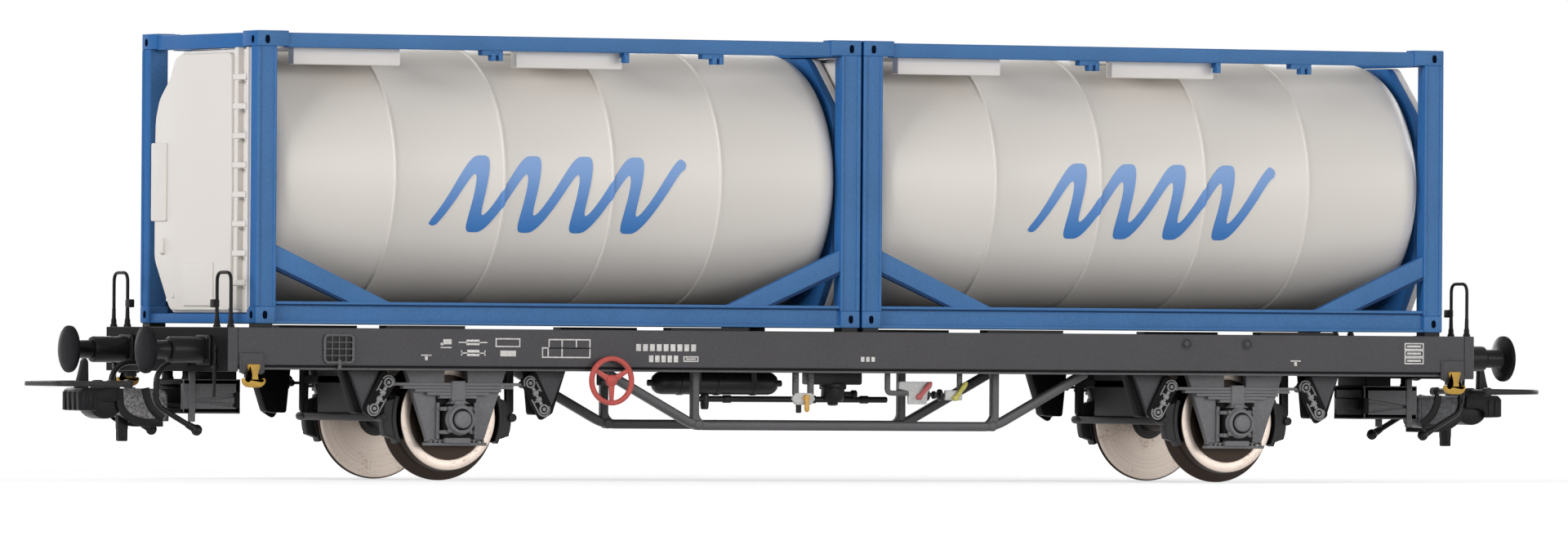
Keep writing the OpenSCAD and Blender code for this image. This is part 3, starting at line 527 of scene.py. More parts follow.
wire_black = plastic("wire_black", (0.013, 0.0125, 0.0135), 0.36, mottle=0.15, specular=0.07)
rail_low, rail_high = limits("grab_rails")
rail_x = rail_high[0] - 0.41
rail_y0, rail_y1 = rail_low[1] + 0.41, rail_low[1] + 3.75
hoop = [(rail_x, rail_y0, deck_z - 0.2), (rail_x, rail_y0, rail_high[2] - 0.17)]
hoop += [(rail_x, rail_y1, rail_high[2] - 0.17), (rail_x, rail_y1, deck_z - 0.2)]
rails = [swept(rounded(hoop, 1.0, 7, closed=False), circle(0.18, 12), (1, 0, 0))]
collar = [(-0.05, 0.4), (0.2, 0.39), (0.3, 0.31), (0.75, 0.29), (0.85, 0.23), (1.9, 0.2)]
for y in (rail_y0, rail_y1):
    rails.append(turned(collar, (rail_x, y, deck_z), 2, 16))
rails.append(block((rail_x - 0.3, rail_y1, deck_z + 2), (rail_x + 0.3, rail_y1 + 1.1, deck_z + 2.85), 0.1))
piece("grab_hoops", both(rails, 0, 1), wire_black, "wagon", "chassis_black", ["grab_rails"])

# ---------------------------------------------------------------- buffers
# A plunger with a slightly domed head in a plain sleeve, on a square foot with four bolts. One
# black plastic moulding, pressed into the end beam.

buffer_low, buffer_high = limits("buffers_right")
buffer_z = (buffer_low[2] + buffer_high[2]) / 2
buffer_y = buffer_low[1] + 2.45
reach = buffer_high[0] - beam_x
centre = (beam_x, buffer_y, buffer_z)
buffer_profile = [
    (0, 1.34), (0.3, 1.36), (reach - 3.2, 1.36), (reach - 3.02, 1.34), (reach - 2.92, 1.26),
    (reach - 2.88, 0.98), (reach - 1.1, 0.96), (reach - 0.9, 1.1), (reach - 0.74, 1.7), (reach - 0.66, 2.3),
    (reach - 0.6, 2.4), (reach - 0.5, 2.3), (reach - 0.5, 0.3),
]
disc_profile = [
    (reach - 0.62, 2.3), (reach - 0.58, 2.42), (reach - 0.34, 2.45), (reach - 0.24, 2.42), (reach - 0.17, 2.3),
    (reach - 0.07, 1.5), (reach - 0.01, 0.6), (reach, 0.1),
]
discs = [turned(disc_profile, centre, 0, 64)]
foot = rectangle(buffer_y - 1.75, buffer_z - 1.55, buffer_y + 1.75, buffer_z + 1.55)
buffers = [turned(buffer_profile, centre, 0, 64), slab(rounded(foot, 0.5), beam_x, beam_x + 0.36, 0, 0.1)]
for y in (-1.32, 1.32):
    for z in (-1.12, 1.12):
        bolt = [(0.3, 0.24), (0.52, 0.22), (0.58, 0.14)]
        buffers.append(turned(bolt, (beam_x, buffer_y + y, buffer_z + z), 0, 6))
buffer_black = plastic("buffer_black", (0.011, 0.0105, 0.0115), 0.3, mottle=0.2, specular=0.12)
disc_black = plastic("disc_black", (0.0115, 0.011, 0.013), 0.4, mottle=0.25, specular=0.025)
at_ends("buffers_{}_turned", both(buffers, 1), buffer_black, "chassis_black", "buffers_{}")
at_ends("buffer_discs_{}", both(discs, 1), disc_black, "chassis_black")

# ---------------------------------------------------------------- axle guards and axle boxes
# Cast W-shaped guards hang from the frame and hold the axle boxes: a square housing with four
# corner bolts, flanges above and below, and a round cover with a raised ring. One grey moulding
# with its own tiny bolts on the tie bar below.

guard_grey = plastic("guard_grey", (0.15, 0.147, 0.153), 0.5, depth=0.01, mottle=0.16, specular=0.2)
guard_low = limits("axle_guards_right")[0]
axle_x = limits("axle_right")[0][0] + 0.8
axle_z = limits("axle_right")[0][2] + 0.8
guard_out = guard_low[1] + 2.0
box_face = guard_out - 1.1
foot_z, box_z = guard_low[2] + 0.45, axle_z - 0.2


def bead_ring(centre, radius, wide, low, high):
    """Rounded ring round a Y axis between two depths, its middle line at a radius."""
    line = upright(circle(radius, 40) + centre, (low + high) / 2)
    section = rounded(oblong(wide / 2, (high - low) / 2), min(wide, high - low) * 0.35, 4)
    return swept(line, section, (0, 1, 0), closed=True)


def guard_parts(x):
    """Near guard of the axle at x: its grey parts, and apart the near-black painted shade in its axle box."""
    leg = [(-5.8, deck_z - 0.7), (-1.3, deck_z - 0.7), (-1.3, axle_z + 3.4), (-2.3, axle_z + 2.1)]
    leg += [(-2.3, foot_z), (-3.2, foot_z), (-5.8, sole_z)]
    leg = rounded(np.array(leg) + (x, 0), 0.15, 3)
    mirrored = leg * (-1, 1) + (2 * x, 0)
    grey = [slab(side, guard_out, guard_out + 0.8, 1, 0.1) for side in (leg, mirrored)]
    for half, low, bottom, top, edge in ((3.5, 0.2, -0.45, -0.12, 0.08), (3.3, 0, -0.05, 0.22, 0.06)):
        corner = (x - half, guard_out - low, foot_z + bottom)
        grey.append(block(corner, (x + half, guard_out + 0.8, foot_z + top), edge))
    for bolt in (-3.0, -2.45, -1.95, 1.95, 2.45, 3.0):
        grey.append(turned([(guard_out - 0.3, 0.13), (guard_out, 0.15)], (x + bolt, 0, foot_z - 0.02), 1, 8))
    # Near-black painted shade: a plate behind the guard's opening, the box's housing and a ring in its cover.
    black = [block((x - 2.3, guard_out + 0.12, foot_z + 0.1), (x + 2.3, guard_out + 0.7, axle_z + 3.2), 0.05)]
    housing = (x + 1.72, guard_out + 0.2, box_z + 1.55)
    black.append(block((x - 1.72, box_face + 0.25, box_z - 1.9), housing, 0.25))
    for side in (-1, 1):
        low, high = sorted([x + side * 1.98, x + side * 2.3])
        jaw = (high, guard_out + 0.3, box_z + 1.75)
        grey.append(block((low, guard_out - 0.28, box_z - 2.0), jaw, 0.07))
        for z in (box_z - 1.3, box_z + 1.1):
            low, high = sorted([x + side * 1.15, x + side * 2.12])
            grey.append(block((low, box_face + 0.2, z - 0.2), (high, guard_out, z + 0.2), 0.1))
            stud = [(box_face + 0.02, 0.12), (box_face + 0.1, 0.22), (guard_out, 0.22)]
            grey.append(turned(stud, (x + side * 1.72, 0, z), 1, 10))
        chock = [(x + side * 1.3, box_z + 1.6), (x + side * 0.3, box_z + 1.6), (x + side * 0.5, box_z + 2.05)]
        grey.append(slab(rounded(chock, 0.1, 3), box_face + 0.3, guard_out, 1, 0.05))
    collar = [(guard_out, 1.62), (box_face + 0.1, 1.62), (box_face - 0.06, 1.56), (box_face - 0.1, 1.4)]
    grey.append(turned([*collar, (box_face - 0.1, 0.2)], (x, 0, box_z), 1, 40))
    for turn_by in (45, 135, 225, 315):
        a = np.radians(turn_by)
        place = (x + 1.62 * np.cos(a), 0, box_z + 1.62 * np.sin(a))
        grey.append(turned([(box_face - 0.1, 0.16), (box_face, 0.24), (guard_out, 0.24)], place, 1, 10))
    grey.append(bead_ring((x, box_z), 1.28, 0.36, box_face - 0.5, box_face))
    ledge = [(box_face, 1.14), (box_face - 0.2, 1.14), (box_face - 0.2, 0.3)]
    black.append(turned(ledge, (x, 0, box_z), 1, 32))
    cap = [(box_face, 0.9), (box_face - 0.7, 0.9), (box_face - 0.82, 0.84), (box_face - 0.88, 0.7)]
    grey.append(turned([*cap, (box_face - 0.9, 0.1)], (x, 0, box_z), 1, 32))
    step = (x + 1.45, guard_out + 0.3, box_z - 1.68)
    grey.append(block((x - 1.45, guard_out - 0.62, foot_z - 0.2), step, 0.12))
    return grey, black


# Near black as painted shade in recesses.
recess_painted_shade = plastic("recess_painted_shade", (0.008, 0.0075, 0.008), 0.5, mottle=0.2, specular=0.05)
for end, sign in ENDS.items():
    grey, black = guard_parts(sign * axle_x)
    piece("guards_" + end, both(grey, 1), guard_grey, "wagon", "chassis_grey", ["axle_guards_" + end])
    piece("box_painted_shade_" + end, both(black, 1), recess_painted_shade, "wagon", "chassis_black")

# ---------------------------------------------------------------- leaf springs
# Five leaves, each shorter than the one above, clamped by a buckle over the axle box. On the
# model they are moulded in the guards' grey, with the leaves' steps and gaps showing.

spring_low, spring_high = limits("leaf_springs_right")
spring_out, spring_in = spring_low[1] + 1.5, spring_low[1] + 2.3
spring_top = spring_high[2] - 0.2
spring_half = (spring_high[0] - spring_low[0]) / 2
leaves, leaf_step, leaf_pitch = 5, 1.4, 0.33


def spring_parts(x):
    """Near spring over the axle at x: each leaf is shorter at both ends than the leaf above it,
    and a groove lies between leaves."""
    parts = []
    for leaf in range(leaves):
        half = spring_half - leaf * leaf_step + (0.25 if leaf == 0 else 0)
        top = spring_top - leaf * leaf_pitch
        path = np.linspace(-half, half, 9)
        line = [(x + step, (spring_out + spring_in) / 2, top - 0.165) for step in path]
        parts.append(swept(line, rounded(oblong((spring_in - spring_out) / 2, 0.158), 0.07, 3)))
    low = spring_top - leaves * leaf_pitch
    buckle_top = (x + 0.8, spring_in + 0.15, spring_top + 0.2)
    parts.append(block((x - 0.8, spring_out - 0.15, low - 0.25), buckle_top, 0.12))
    parts.append(block((x - 0.55, box_face + 0.1, axle_z + 1.3), (x + 0.55, spring_in + 0.1, low - 0.2), 0.1))
    for side in (-1, 1):
        eye = [(spring_out - 0.02, 0.3), (spring_out + 0.05, 0.38), (spring_in, 0.38)]
        parts.append(turned(eye, (x + side * (spring_half - 0.1), 0, spring_top - 0.16), 1, 20))
    return parts


for end, sign in ENDS.items():
    parts = both(spring_parts(sign * axle_x), 1)
    piece("springs_" + end, parts, guard_grey, "wagon", "chassis_grey", ["leaf_springs_" + end])

# ---------------------------------------------------------------- spring hangers and shackles
# A tapering plate under the sole bar at each end of a spring, and a shackle of two links that
# joins it to the spring: round bosses with raised rings, and a turnbuckle between them. The
# plates are black, their bosses and rims stand out in grey.

spring_eye = (8.15, spring_top)
shackle_reach, shackle_fall = 9.75 - spring_eye[0], 2.7
lean = np.arctan2(shackle_fall, shackle_reach)
link = float(np.hypot(shackle_fall, shackle_reach))
link_face, hanger_out, hanger_in = -12.5, -12.1, -11.4


def along_link(points):
    """Outline points of (down the link, across it) placed between the spring's eye and the
    hanger's lower pin."""
    turn = np.array([[np.cos(lean), -np.sin(lean)], [np.sin(lean), np.cos(lean)]])
    return np.asarray(points, float) @ turn + spring_eye


def hanger_parts():
    """Near hanger to the right of an axle at x = 0: plates and ring work apart."""
    plate = [(8.9, sole_z), (12.4, sole_z), (10.55, spring_top - 3.2), (9.25, spring_top - 3.4)]
    hanger = [slab(rounded(plate, 0.3), hanger_out, hanger_in, 1, 0.1)]
    pad = along_link([(-0.85, -0.8), (link + 0.9, -0.95), (link + 0.9, 1.0), (-0.85, 1.25)])
    hanger.append(slab(rounded(pad, 0.5), link_face + 0.02, link_face + 0.35, 1, 0.08))
    metal = []
    dome = [(link_face + 0.1, 0.2), (link_face - 0.2, 0.2), (link_face - 0.26, 0.12)]
    for at, start, stop in ((0.0, 90, 270), (link, -90, 90)):
        x, z = along_link([(at, 0)])[0]
        metal.append(bead_ring((x, z), 0.44, 0.18, link_face - 0.22, link_face + 0.08))
        metal.append(turned(dome, (x, 0, z), 1, 16))
        rim = along_link(arc((at, 0), (0.72, 0.68), start, stop, 9))
        metal.append(swept(upright(rim, link_face - 0.02), circle(0.09, 8), (0, 1, 0)))
        hanger.append(turned([(link_face, 0.3), (-11.5, 0.3)], (x, 0, z), 1, 16))
    for start, stop, across in ((link * 0.5, link, -0.68), (0.2, link * 0.45, 0.68)):
        edge = along_link([(start, across), (stop, across)])
        metal.append(swept(upright(edge, link_face - 0.02), circle(0.08, 8), (0, 1, 0)))
    steps, halves = (0.55, 1.0, 1.45, 1.75, 2.2, 2.6), (0.16, 0.3, 0.14, 0.3, 0.16)
    for start, stop, wide in zip(steps, steps[1:], halves):
        screw = along_link(rectangle(start, -wide, stop, wide))
        metal.append(slab(rounded(screw, 0.06, 3), link_face - 0.2, link_face + 0.1, 1, 0.05))
    for start, across in ((1.05, 0.3), (1.9, -0.3)):
        lug = along_link(rectangle(start, across, start + 0.18, across * 1.9))
        metal.append(slab(rounded(lug, 0.05, 3), link_face - 0.15, link_face + 0.1, 1, 0.04))
    return hanger, metal


hanger, ring_work = hanger_parts()
back_plate = [(8.5, sole_z + 0.2), (12.9, sole_z + 0.2), (11.3, spring_top - 3.2), (9.0, spring_top - 3.3)]
hanger.append(slab(rounded(back_plate, 0.3), hanger_in - 0.05, -9.9, 1, 0.1))
ring_grey = plastic("ring_grey", (0.24, 0.235, 0.24), 0.45, mottle=0.2, specular=0.3)
shackle_black = plastic("shackle_black", (0.01, 0.0095, 0.0105), 0.45, mottle=0.2, specular=0.03)
for name, parts, finish, gone in (
    ("hangers_{}", hanger[:1], chassis_grey, "spring_hangers_{}"),
    ("shackles_{}", hanger[1:], shackle_black, ""),
    ("shackle_rings_{}", ring_work, ring_grey, ""),
):
    at_ends(name, both(parts, 0, 1), finish, "chassis_grey", gone, middle=axle_x)

# ---------------------------------------------------------------- brake blocks
# A curved block beside each tread on a flat hanger, and a beam with a web that joins the two
# sides, all moulded in one dark grey piece per axle and clipped up into the floor.

brake_grey = plastic("brake_grey", (0.026, 0.025, 0.0265), 0.5, depth=0.01, mottle=0.18, specular=0.15)
tread_r, shoe_gap = 5.5, 0.4


def brake_parts():
    """Brake gear to the right of an axle at x = 0, near side: the block lies between an arc round
    the wheel and a hump outside it."""
    shoe_r = tread_r + shoe_gap
    friction = arc((0, axle_z), shoe_r, -25, 21, 9)
    hump = arc((0, axle_z), shoe_r + 1.5, 13, -15, 7)
    lining = arc((0, axle_z), shoe_r + 0.5, -25, 21, 9)[::-1]
    parts = [slab(np.vstack([friction, hump]), -9.85, -8.65, 1, 0.16)]
    parts.append(slab(np.vstack([friction, lining]), -9.98, -8.52, 1, 0.1))
    hanger = [(6.75, deck_z - 0.6), (7.7, deck_z - 0.6), (7.75, axle_z + 0.5), (6.95, axle_z + 0.2)]
    parts.append(slab(rounded(hanger, 0.3), -9.6, -8.95, 1, 0.08))
    pin = [(-10.25, 0.2), (-10.16, 0.42), (-9.8, 0.46), (-8.7, 0.46), (-8.4, 0.42), (-8.3, 0.2)]
    parts.append(turned(pin, (7.4, 0, axle_z), 1, 20))
    parts = both(parts, 1)
    beam = rectangle(6.95, axle_z - 0.42, 7.75, axle_z + 0.42)
    parts.append(slab(rounded(beam, 0.25), -8.9, 8.9, 1, 0.05))
    parts.append(block((7.1, -5.6, axle_z - 0.1), (7.5, 5.6, deck_z - 1.2), 0.08))
    parts.append(block((7.1, -9.0, axle_z + 3.4), (7.5, 9.0, axle_z + 4.3), 0.08))
    return parts


at_ends("brake_gear_{}", both(brake_parts(), 0), brake_grey, "chassis_black", "brakes_{}", middle=axle_x)

# ---------------------------------------------------------------- wheelsets
# Turned and nickelled tyres, slightly warm, around black plastic centres, pressed on a black
# axle. Turning marks run round the faces, and the running surface is a much darker nickel: a
# painted dark reflection.


def nickel(name, colour, roughness, ring_size):
    """Turned metal: noise along the distance from the axle alone draws rings, with specks and a
    few soft stains over them."""
    made = Finish(name, {"Metallic": 1.0, "Specular IOR Level": 0.5})
    x, y, z = [made.along(axis, made.place) for axis in "XYZ"]
    along, height = x.math("ABSOLUTE", x) - axle_x * MM, z - axle_z * MM
    square = along * along + height * height
    ring_place = made.node("ShaderNodeCombineXYZ", inputs={0: square.math("SQRT", square), 1: y * 0.2})
    rings = made.noise(ring_size, 3.0, ring_place)
    stains, specks = made.noise(3.4, 3.0), made.noise(0.22, 3.0)
    worn = ((specks - 0.58) * 4 + (stains - 0.52) * 3.5).clipped()
    tone = made.mix(rings, shade(colour, 0.72), shade(colour, 1.2))
    brown = (colour[0] * 0.62, colour[1] * 0.54, colour[2] * 0.47, 1.0)
    stained = made.mix(worn * 0.7, tone, brown)
    return made.coat(stained, roughness + rings * 0.12 + worn * 0.15, rings, 0.012)


tyre_nickel = nickel("tyre_nickel", (0.48, 0.412, 0.362), 0.42, 0.1)
# The running surface's dark nickel is a painted dark reflection.
tread_painted_reflection = nickel("tread_painted_reflection", (0.03, 0.022, 0.018), 0.4, 0.16)
centre_black = plastic("centre_black", (0.024, 0.023, 0.0235), 0.4, mottle=0.15, specular=0.25)
back_y = 7.2
tyre = [
    (0, 0.85), (0, 6.1), (0.1, 6.3), (0.3, 6.46), (0.5, 6.44), (0.7, 6.1), (0.9, 5.75), (1.12, 5.54),
    (2.6, 5.44), (2.76, 5.4), (2.8, 5.3), (2.8, 4.46), (2.76, 4.38), (2.3, 4.36), (2.2, 4.3),
    (2.2, 4.16), (2.5, 4.12), (2.6, 4.05), (2.5, 3.95), (2.3, 3.9), (1.8, 3.8), (1.8, 0.85),
]
tread = [
    (0.14, 6.2), (0.18, 6.42), (0.3, 6.5), (0.5, 6.5), (0.66, 6.26), (0.9, 5.79), (1.12, 5.57),
    (2.58, 5.47), (2.7, 5.39), (2.72, 5.2),
]
centre = [
    (1.7, 0.8), (1.7, 3.82), (2.12, 3.8), (2.2, 3.74), (2.14, 3.64), (2.02, 3.55), (2.0, 3.3), (2.08, 3.2),
    (2.08, 3.0), (2.0, 2.9), (1.98, 2.2), (2.06, 1.9), (2.4, 1.75), (2.74, 1.65), (2.8, 1.55), (2.8, 0.85),
]
groove = [(2.15, 4.14), (2.3, 4.14), (2.34, 4.25), (2.3, 4.38), (2.15, 4.38), (2.15, 4.14)]
back_centre = [(0.3, 0.8), (0.3, 2.05), (-0.04, 2.02), (-0.08, 1.95), (-0.08, 1.6), (-0.3, 1.45), (-0.3, 0.8)]
for end, sign in ENDS.items():
    for side, outward in (("near", -1), ("far", 1)):
        for name, profile, finish, slot, gone in (
            ("tyre_", tyre, tyre_nickel, "wheel_nickel", ["wheel_%s_%s" % (end, side)]),
            ("tread_", tread, tread_painted_reflection, "wheel_nickel", []),
            ("centre_", centre, centre_black, "chassis_black", []),
            ("hub_", back_centre, centre_black, "chassis_black", []),
        ):
            mirror, place = (outward, 1), (sign * axle_x, 0, axle_z)
            shape = np.asarray(profile) * mirror + (outward * back_y, 0)
            parts = [turned(shape, place, 1, 128)]
            if profile is centre:
                parts.append(turned(np.asarray(groove) * mirror + (outward * back_y, 0), place, 1, 96))
            piece(name + end + "_" + side, parts, finish, "wheelset_" + end, slot, gone)
half = [(0.9, 0.95), (1.2, 1.15), (6.7, 1.15), (7.0, 0.8), (10.25, 0.8), (10.3, 0.5), (11.4, 0.5), (11.6, 0.15)]
shaft = [turned([(-y, r) for y, r in reversed(half)] + half, (0, 0, axle_z), 1, 32)]
at_ends("shaft_{}", shaft, centre_black, "chassis_black", "axle_{}", "wheelset_{}", middle=axle_x)

# ---------------------------------------------------------------- trusses
# Two trusses stiffen the frame: a low chord that slants up to the sole bars at both ends, two
# posts, and a thickened foot at each post. Every bar is a rounded plastic moulding.

truss_grey = plastic("truss_grey", (0.075, 0.071, 0.075), 0.42, mottle=0.18, specular=0.3)
post_x, chord_z, foot_x, truss_y = 17.7, 5.8, 28.5, 10.5
half = [(post_x, chord_z), (foot_x, sole_z + 0.05)]
chord = upright([(-x, z) for x, z in reversed(half)] + [(0, chord_z)] + half, 0)
truss = [swept(rounded(chord, 1.3, 9, closed=False), rounded(oblong(0.5, 0.46), 0.3, 4), (0, 1, 0))]
for x in (-post_x, post_x):
    inwards = -np.sign(x)
    post = [(x, 0, chord_z), (x, 0, 8), (x, 0, sole_z + 0.04)]
    truss.append(swept(post, rounded(oblong(0.44, 0.4), 0.2), (0, 1, 0)))
    fillet = [(x, chord_z), (x + inwards * 1.4, chord_z)]
    for a in np.radians(np.linspace(0, 90, 7)):
        fillet.append((x + inwards * (1.4 - np.sin(a)), chord_z + 0.4 + 1 - np.cos(a)))
    fillet += [(x, chord_z + 1.4)]
    truss.append(slab(fillet, -0.36, 0.36, 1, 0.08))
    cap = [(-0.55, 0.3), (-0.52, 0.46), (-0.46, 0.54), (0.46, 0.54), (0.52, 0.46), (0.55, 0.3)]
    truss.append(turned(cap, (x + inwards * 0.35, 0, chord_z + 0.05), 1, 20))
for name, side in (("near", -1), ("far", 1)):
    placed = moved(truss, (0, side * truss_y, 0))
    piece("truss_bars_" + name, placed, truss_grey, "wagon", "chassis_black", ["truss_" + name])

# ---------------------------------------------------------------- handwheels
# The parking brake's handwheel on each side: a round rim, three flat spokes that taper outwards
# and a hub on a spindle, in coral red plastic. Its bracket under the sole bar is grey.

wheel_red = plastic("wheel_red", (0.47, 0.083, 0.068), 0.42, mottle=0.14, specular=0.2)
hand_x, hand_y, hand_z, hand_r = -29.9, -15.55, 10.4, 2.3
rim = upright(circle(hand_r, 72) + (hand_x, hand_z), hand_y)
wheel = [swept(rim, rounded(oblong(0.26, 0.28), 0.22, 4), (0, 1, 0), closed=True)]
for spoke_turn in (30, 150, 270):
    a = np.radians(spoke_turn)
    out, side = np.array([np.cos(a), np.sin(a)]), np.array([-np.sin(a), np.cos(a)])
    corners = [0.2 * out - 0.34 * side, 2.2 * out - 0.2 * side, 2.2 * out + 0.2 * side, 0.2 * out + 0.34 * side]
    wheel.append(slab(np.array(corners) + (hand_x, hand_z), hand_y - 0.14, hand_y + 0.16, 1, 0.08))
hub = [(-0.42, 0.08), (-0.4, 0.18), (-0.3, 0.22), (-0.28, 0.45), (-0.2, 0.58), (0.25, 0.62), (0.35, 0.5)]
wheel.append(turned(hub, (hand_x, hand_y, hand_z), 1, 32))
spindle = [(0.3, 0.24), (2.45, 0.24), (2.5, 0.15)]
stay = [turned(spindle, (hand_x, hand_y, hand_z), 1, 16)]
stay.append(block((hand_x - 0.5, hand_y + 2.1, hand_z - 0.5), (hand_x + 0.5, hand_y + 2.6, sole_z), 0.12))
piece("handwheel_rims", both(wheel, 1), wheel_red, "wagon", "red", ["handwheels"])
piece("handwheel_stays", both(stay, 1), brake_grey, "wagon", "chassis_grey")

# ---------------------------------------------------------------- air reservoir
# A long air tank across from the near truss, with welded bands and dished ends, on two saddles
# under the floor. Black plastic with a slight gloss.

tank_black = plastic("tank_black", (0.013, 0.0125, 0.013), 0.38, mottle=0.16, specular=0.18)
body = [(-20.35, 0.15), (-20.3, 0.5), (-20.1, 0.85), (-19.75, 1.1), (-19.3, 1.2), (-17.6, 1.2)]
for band in (-17.2, -12.9, -8.6):
    body += [(band - 0.3, 1.2), (band - 0.24, 1.28), (band + 0.24, 1.28), (band + 0.3, 1.2)]
body += [(-6.8, 1.2), (-6.35, 1.1), (-6.0, 0.85), (-5.8, 0.5), (-5.75, 0.15)]
works_y = -6
store = [turned(body, (0, works_y, 10.2), 0, 40)]
for stub in ([(-20.9, 0.2), (-20.85, 0.34), (-20.2, 0.34)], [(-5.9, 0.34), (-5.25, 0.34), (-5.2, 0.2)]):
    store.append(turned(stub, (0, works_y, 10.2), 0, 16))
for x in (-15.5, -9):
    saddle = [(-0.9, deck_z - 0.65), (-1.28, 10.3), (-1.0, 9.5), (1.0, 9.5), (1.28, 10.3), (0.9, deck_z - 0.65)]
    store.append(slab(np.array(saddle) + (works_y, 0), x - 0.32, x + 0.32, 0, 0.08))
piece("reservoir", store, tank_black, "wagon", "chassis_black", ["air_reservoir"])

# ---------------------------------------------------------------- brake valve, rods and brackets
# A round valve with a flanged cap on a stalk, a drain cock and the brake rod through them, and
# the brackets of the changeover plates: two legs, an angle and a hanger under the sole bar.

valve_x, valve_z, rod_z, cock_x = 0.9, 8.35, 8.55, -14.2
valve = [(-0.45, 0.35), (-0.35, 0.55), (0, 0.6), (0, 1.05), (0.3, 1.25), (1.4, 1.25), (1.5, 1.45), (1.85, 1.45)]
valve += [(1.95, 1.2), (2.2, 0.75), (6.6, 0.7)]
works = [turned(valve, (valve_x, works_y, valve_z), 2, 32)]
for a in np.radians([30, 90, 150, 210, 270, 330]):
    place = (valve_x + 1.3 * np.cos(a), works_y + 1.3 * np.sin(a), valve_z + 1.4)
    works.append(turned([(-0.12, 0.12), (0.5, 0.14), (0.6, 0.08)], place, 2, 8))
nozzle = [(0, 0.3), (1.2, 0.3), (1.25, 0.45), (1.7, 0.45), (1.75, 0.3)]
works.append(turned(nozzle, (valve_x + 1.0, works_y, valve_z + 0.75), 0, 16))
cock = [(0, 0.3), (0.1, 0.42), (0.6, 0.46), (1.5, 0.46), (1.6, 0.3)]
works.append(turned(cock, (cock_x, works_y, rod_z - 1.1), 2, 16))
works.append(turned([(-0.8, 0.2), (-0.75, 0.28), (0.75, 0.28), (0.8, 0.2)], (cock_x, works_y, rod_z), 0, 12))
for x0, x1 in ((-14.7, 0.4), (0.4, 7.25)):
    rod = [(x, works_y, rod_z) for x in (x0, (x0 + x1) / 2, x1)]
    works.append(swept(rod, circle(0.32, 12)))
for x in (-11.6, -1.6, 4.6):
    clevis = [(-0.5, 0.3), (-0.42, 0.42), (0.42, 0.42), (0.5, 0.3)]
    works.append(turned(clevis, (x, works_y, rod_z), 0, 12))
works.append(turned([(0, 0.2), (0.1, 0.3), (0.95, 0.3)], (-6.4, -12.3, 7.15), 2, 16))
for step, reach in ((6.9, 0.62), (7.75, 0.42), (8.45, 0.62)):
    joint = [(step - 0.18, reach * 0.6), (step - 0.1, reach), (step + 0.14, reach), (step + 0.22, reach * 0.6)]
    works.append(turned(joint, (1.75, -12.35, 9.1), 0, 20))
works.append(block((-2.2, -7.2, 10.1), (3.8, -4.8, 11.6), 0.2))
works.append(swept([(8.3, -12.35, 9.1), (9.4, -12.35, 9.15), (10.8, -12.35, 9.1)], circle(0.2, 12)))
piece("valve_and_rods", works, tank_black, "wagon", "chassis_black", ["brake_valve"])
bracket_grey = plastic("bracket_grey", (0.08, 0.078, 0.08), 0.45, mottle=0.16, specular=0.25)
legs = [block((x - 0.34, -12.88, 9.0), (x + 0.34, -12.5, sole_z + 0.03), 0.1) for x in (-6.98, -5.22)]
angle = [(3.85, -12.7, sole_z + 0.04), (3.85, -12.7, 9.28), (6.3, -12.7, 9.28)]
legs.append(swept(rounded(angle, 0.5, 6, closed=False), rounded(oblong(0.28, 0.19), 0.1), (0, 1, 0)))
legs.append(block((12.12, -12.88, 9.6), (12.68, -12.5, sole_z + 0.03), 0.1))
for x in (-6.98, -5.22):
    legs.append(turned([(-13.0, 0.2), (-12.95, 0.28), (-12.5, 0.28)], (x, 0, 10.6), 1, 12))
piece("lever_brackets", legs, bracket_grey, "wagon", "chassis_grey")

# ---------------------------------------------------------------- changeover plates and levers
# Small white plates printed blank, with a red, a yellow and an orange lever in front of them, each
# a short round handle that is thicker towards its end.

plate_white = plastic("plate_white", (0.5, 0.5, 0.49), 0.5, mottle=0.2, specular=0.35)
hexagon = [(-1.35, 8.62), (-1.0, 9.25), (1.0, 9.25), (1.35, 8.62), (0.9, 8.0), (-0.9, 8.0)]
plates = [slab(rounded(np.array(hexagon) + (-6.1, 0), 0.15, 3), -12.92, -12.5, 1, 0.08)]
tee = [(-1.1, 10.5), (2.88, 10.5), (2.82, 9.92), (2.32, 9.4), (2.18, 8.12), (0.02, 8.12)]
tee += [(0.02, 9.5), (-1.1, 9.7)]
plates.append(slab(rounded(np.array(tee) + (6.25, 0), 0.16, 3), -12.92, -12.5, 1, 0.08))
plates.append(block((10.62, -12.92, 8.56), (12.68, -12.5, 9.62), 0.14))
for corners in ((6.75, 8.45, 7.95, 9.5), (10.9, 8.8, 12.4, 9.38)):
    plates.append(slab(rectangle(*corners), -12.96, -12.9, 1, 0.02))
piece("lever_plates", plates, plate_white, "wagon", "tank_cream", ["changeover_plates"])


def handle(x, z, length, lift):
    """Round handle from a pivot at x, z in front of its plate, raised by an angle from +X."""
    a = np.radians(lift)
    steps = length * np.linspace(0, 1, 7)
    line = [(x + step * np.cos(a), -13.22, z + step * np.sin(a)) for step in steps]
    grip = swept(line, circle(0.27, 14), (0, 1, 0), widths=[0.6, 0.9, 0.85, 0.9, 1.05, 1.0, 0.55])
    pivot = turned([(-13.42, 0.16), (-13.36, 0.3), (-12.85, 0.32)], (x, 0, z), 1, 20)
    return [grip, pivot]


lever_red = plastic("lever_red", (0.44, 0.1, 0.1), 0.45, mottle=0.14, specular=0.3)
piece("red_handle", handle(7.4, 8.9, 2.05, 48), lever_red, "wagon", "red", ["red_levers"])
lever_yellow = plastic("lever_yellow", (0.46, 0.42, 0.09), 0.45, mottle=0.14, specular=0.4)
lever_orange = plastic("lever_orange", (0.6, 0.33, 0.07), 0.45, mottle=0.14, specular=0.4)
piece("yellow_handle", handle(11.7, 8.8, 2.1, 52), lever_yellow, "wagon", "yellow", ["yellow_levers"])
piece("orange_handle", handle(-5.9, 8.75, 1.5, -90), lever_orange, "wagon", "yellow")

# ---------------------------------------------------------------- coupling pockets
# A grey plastic box under each end that the coupling swings in, open to the front, with a groove
# and a strap in its side, a wedge-shaped recess, and the pivot pin inside.

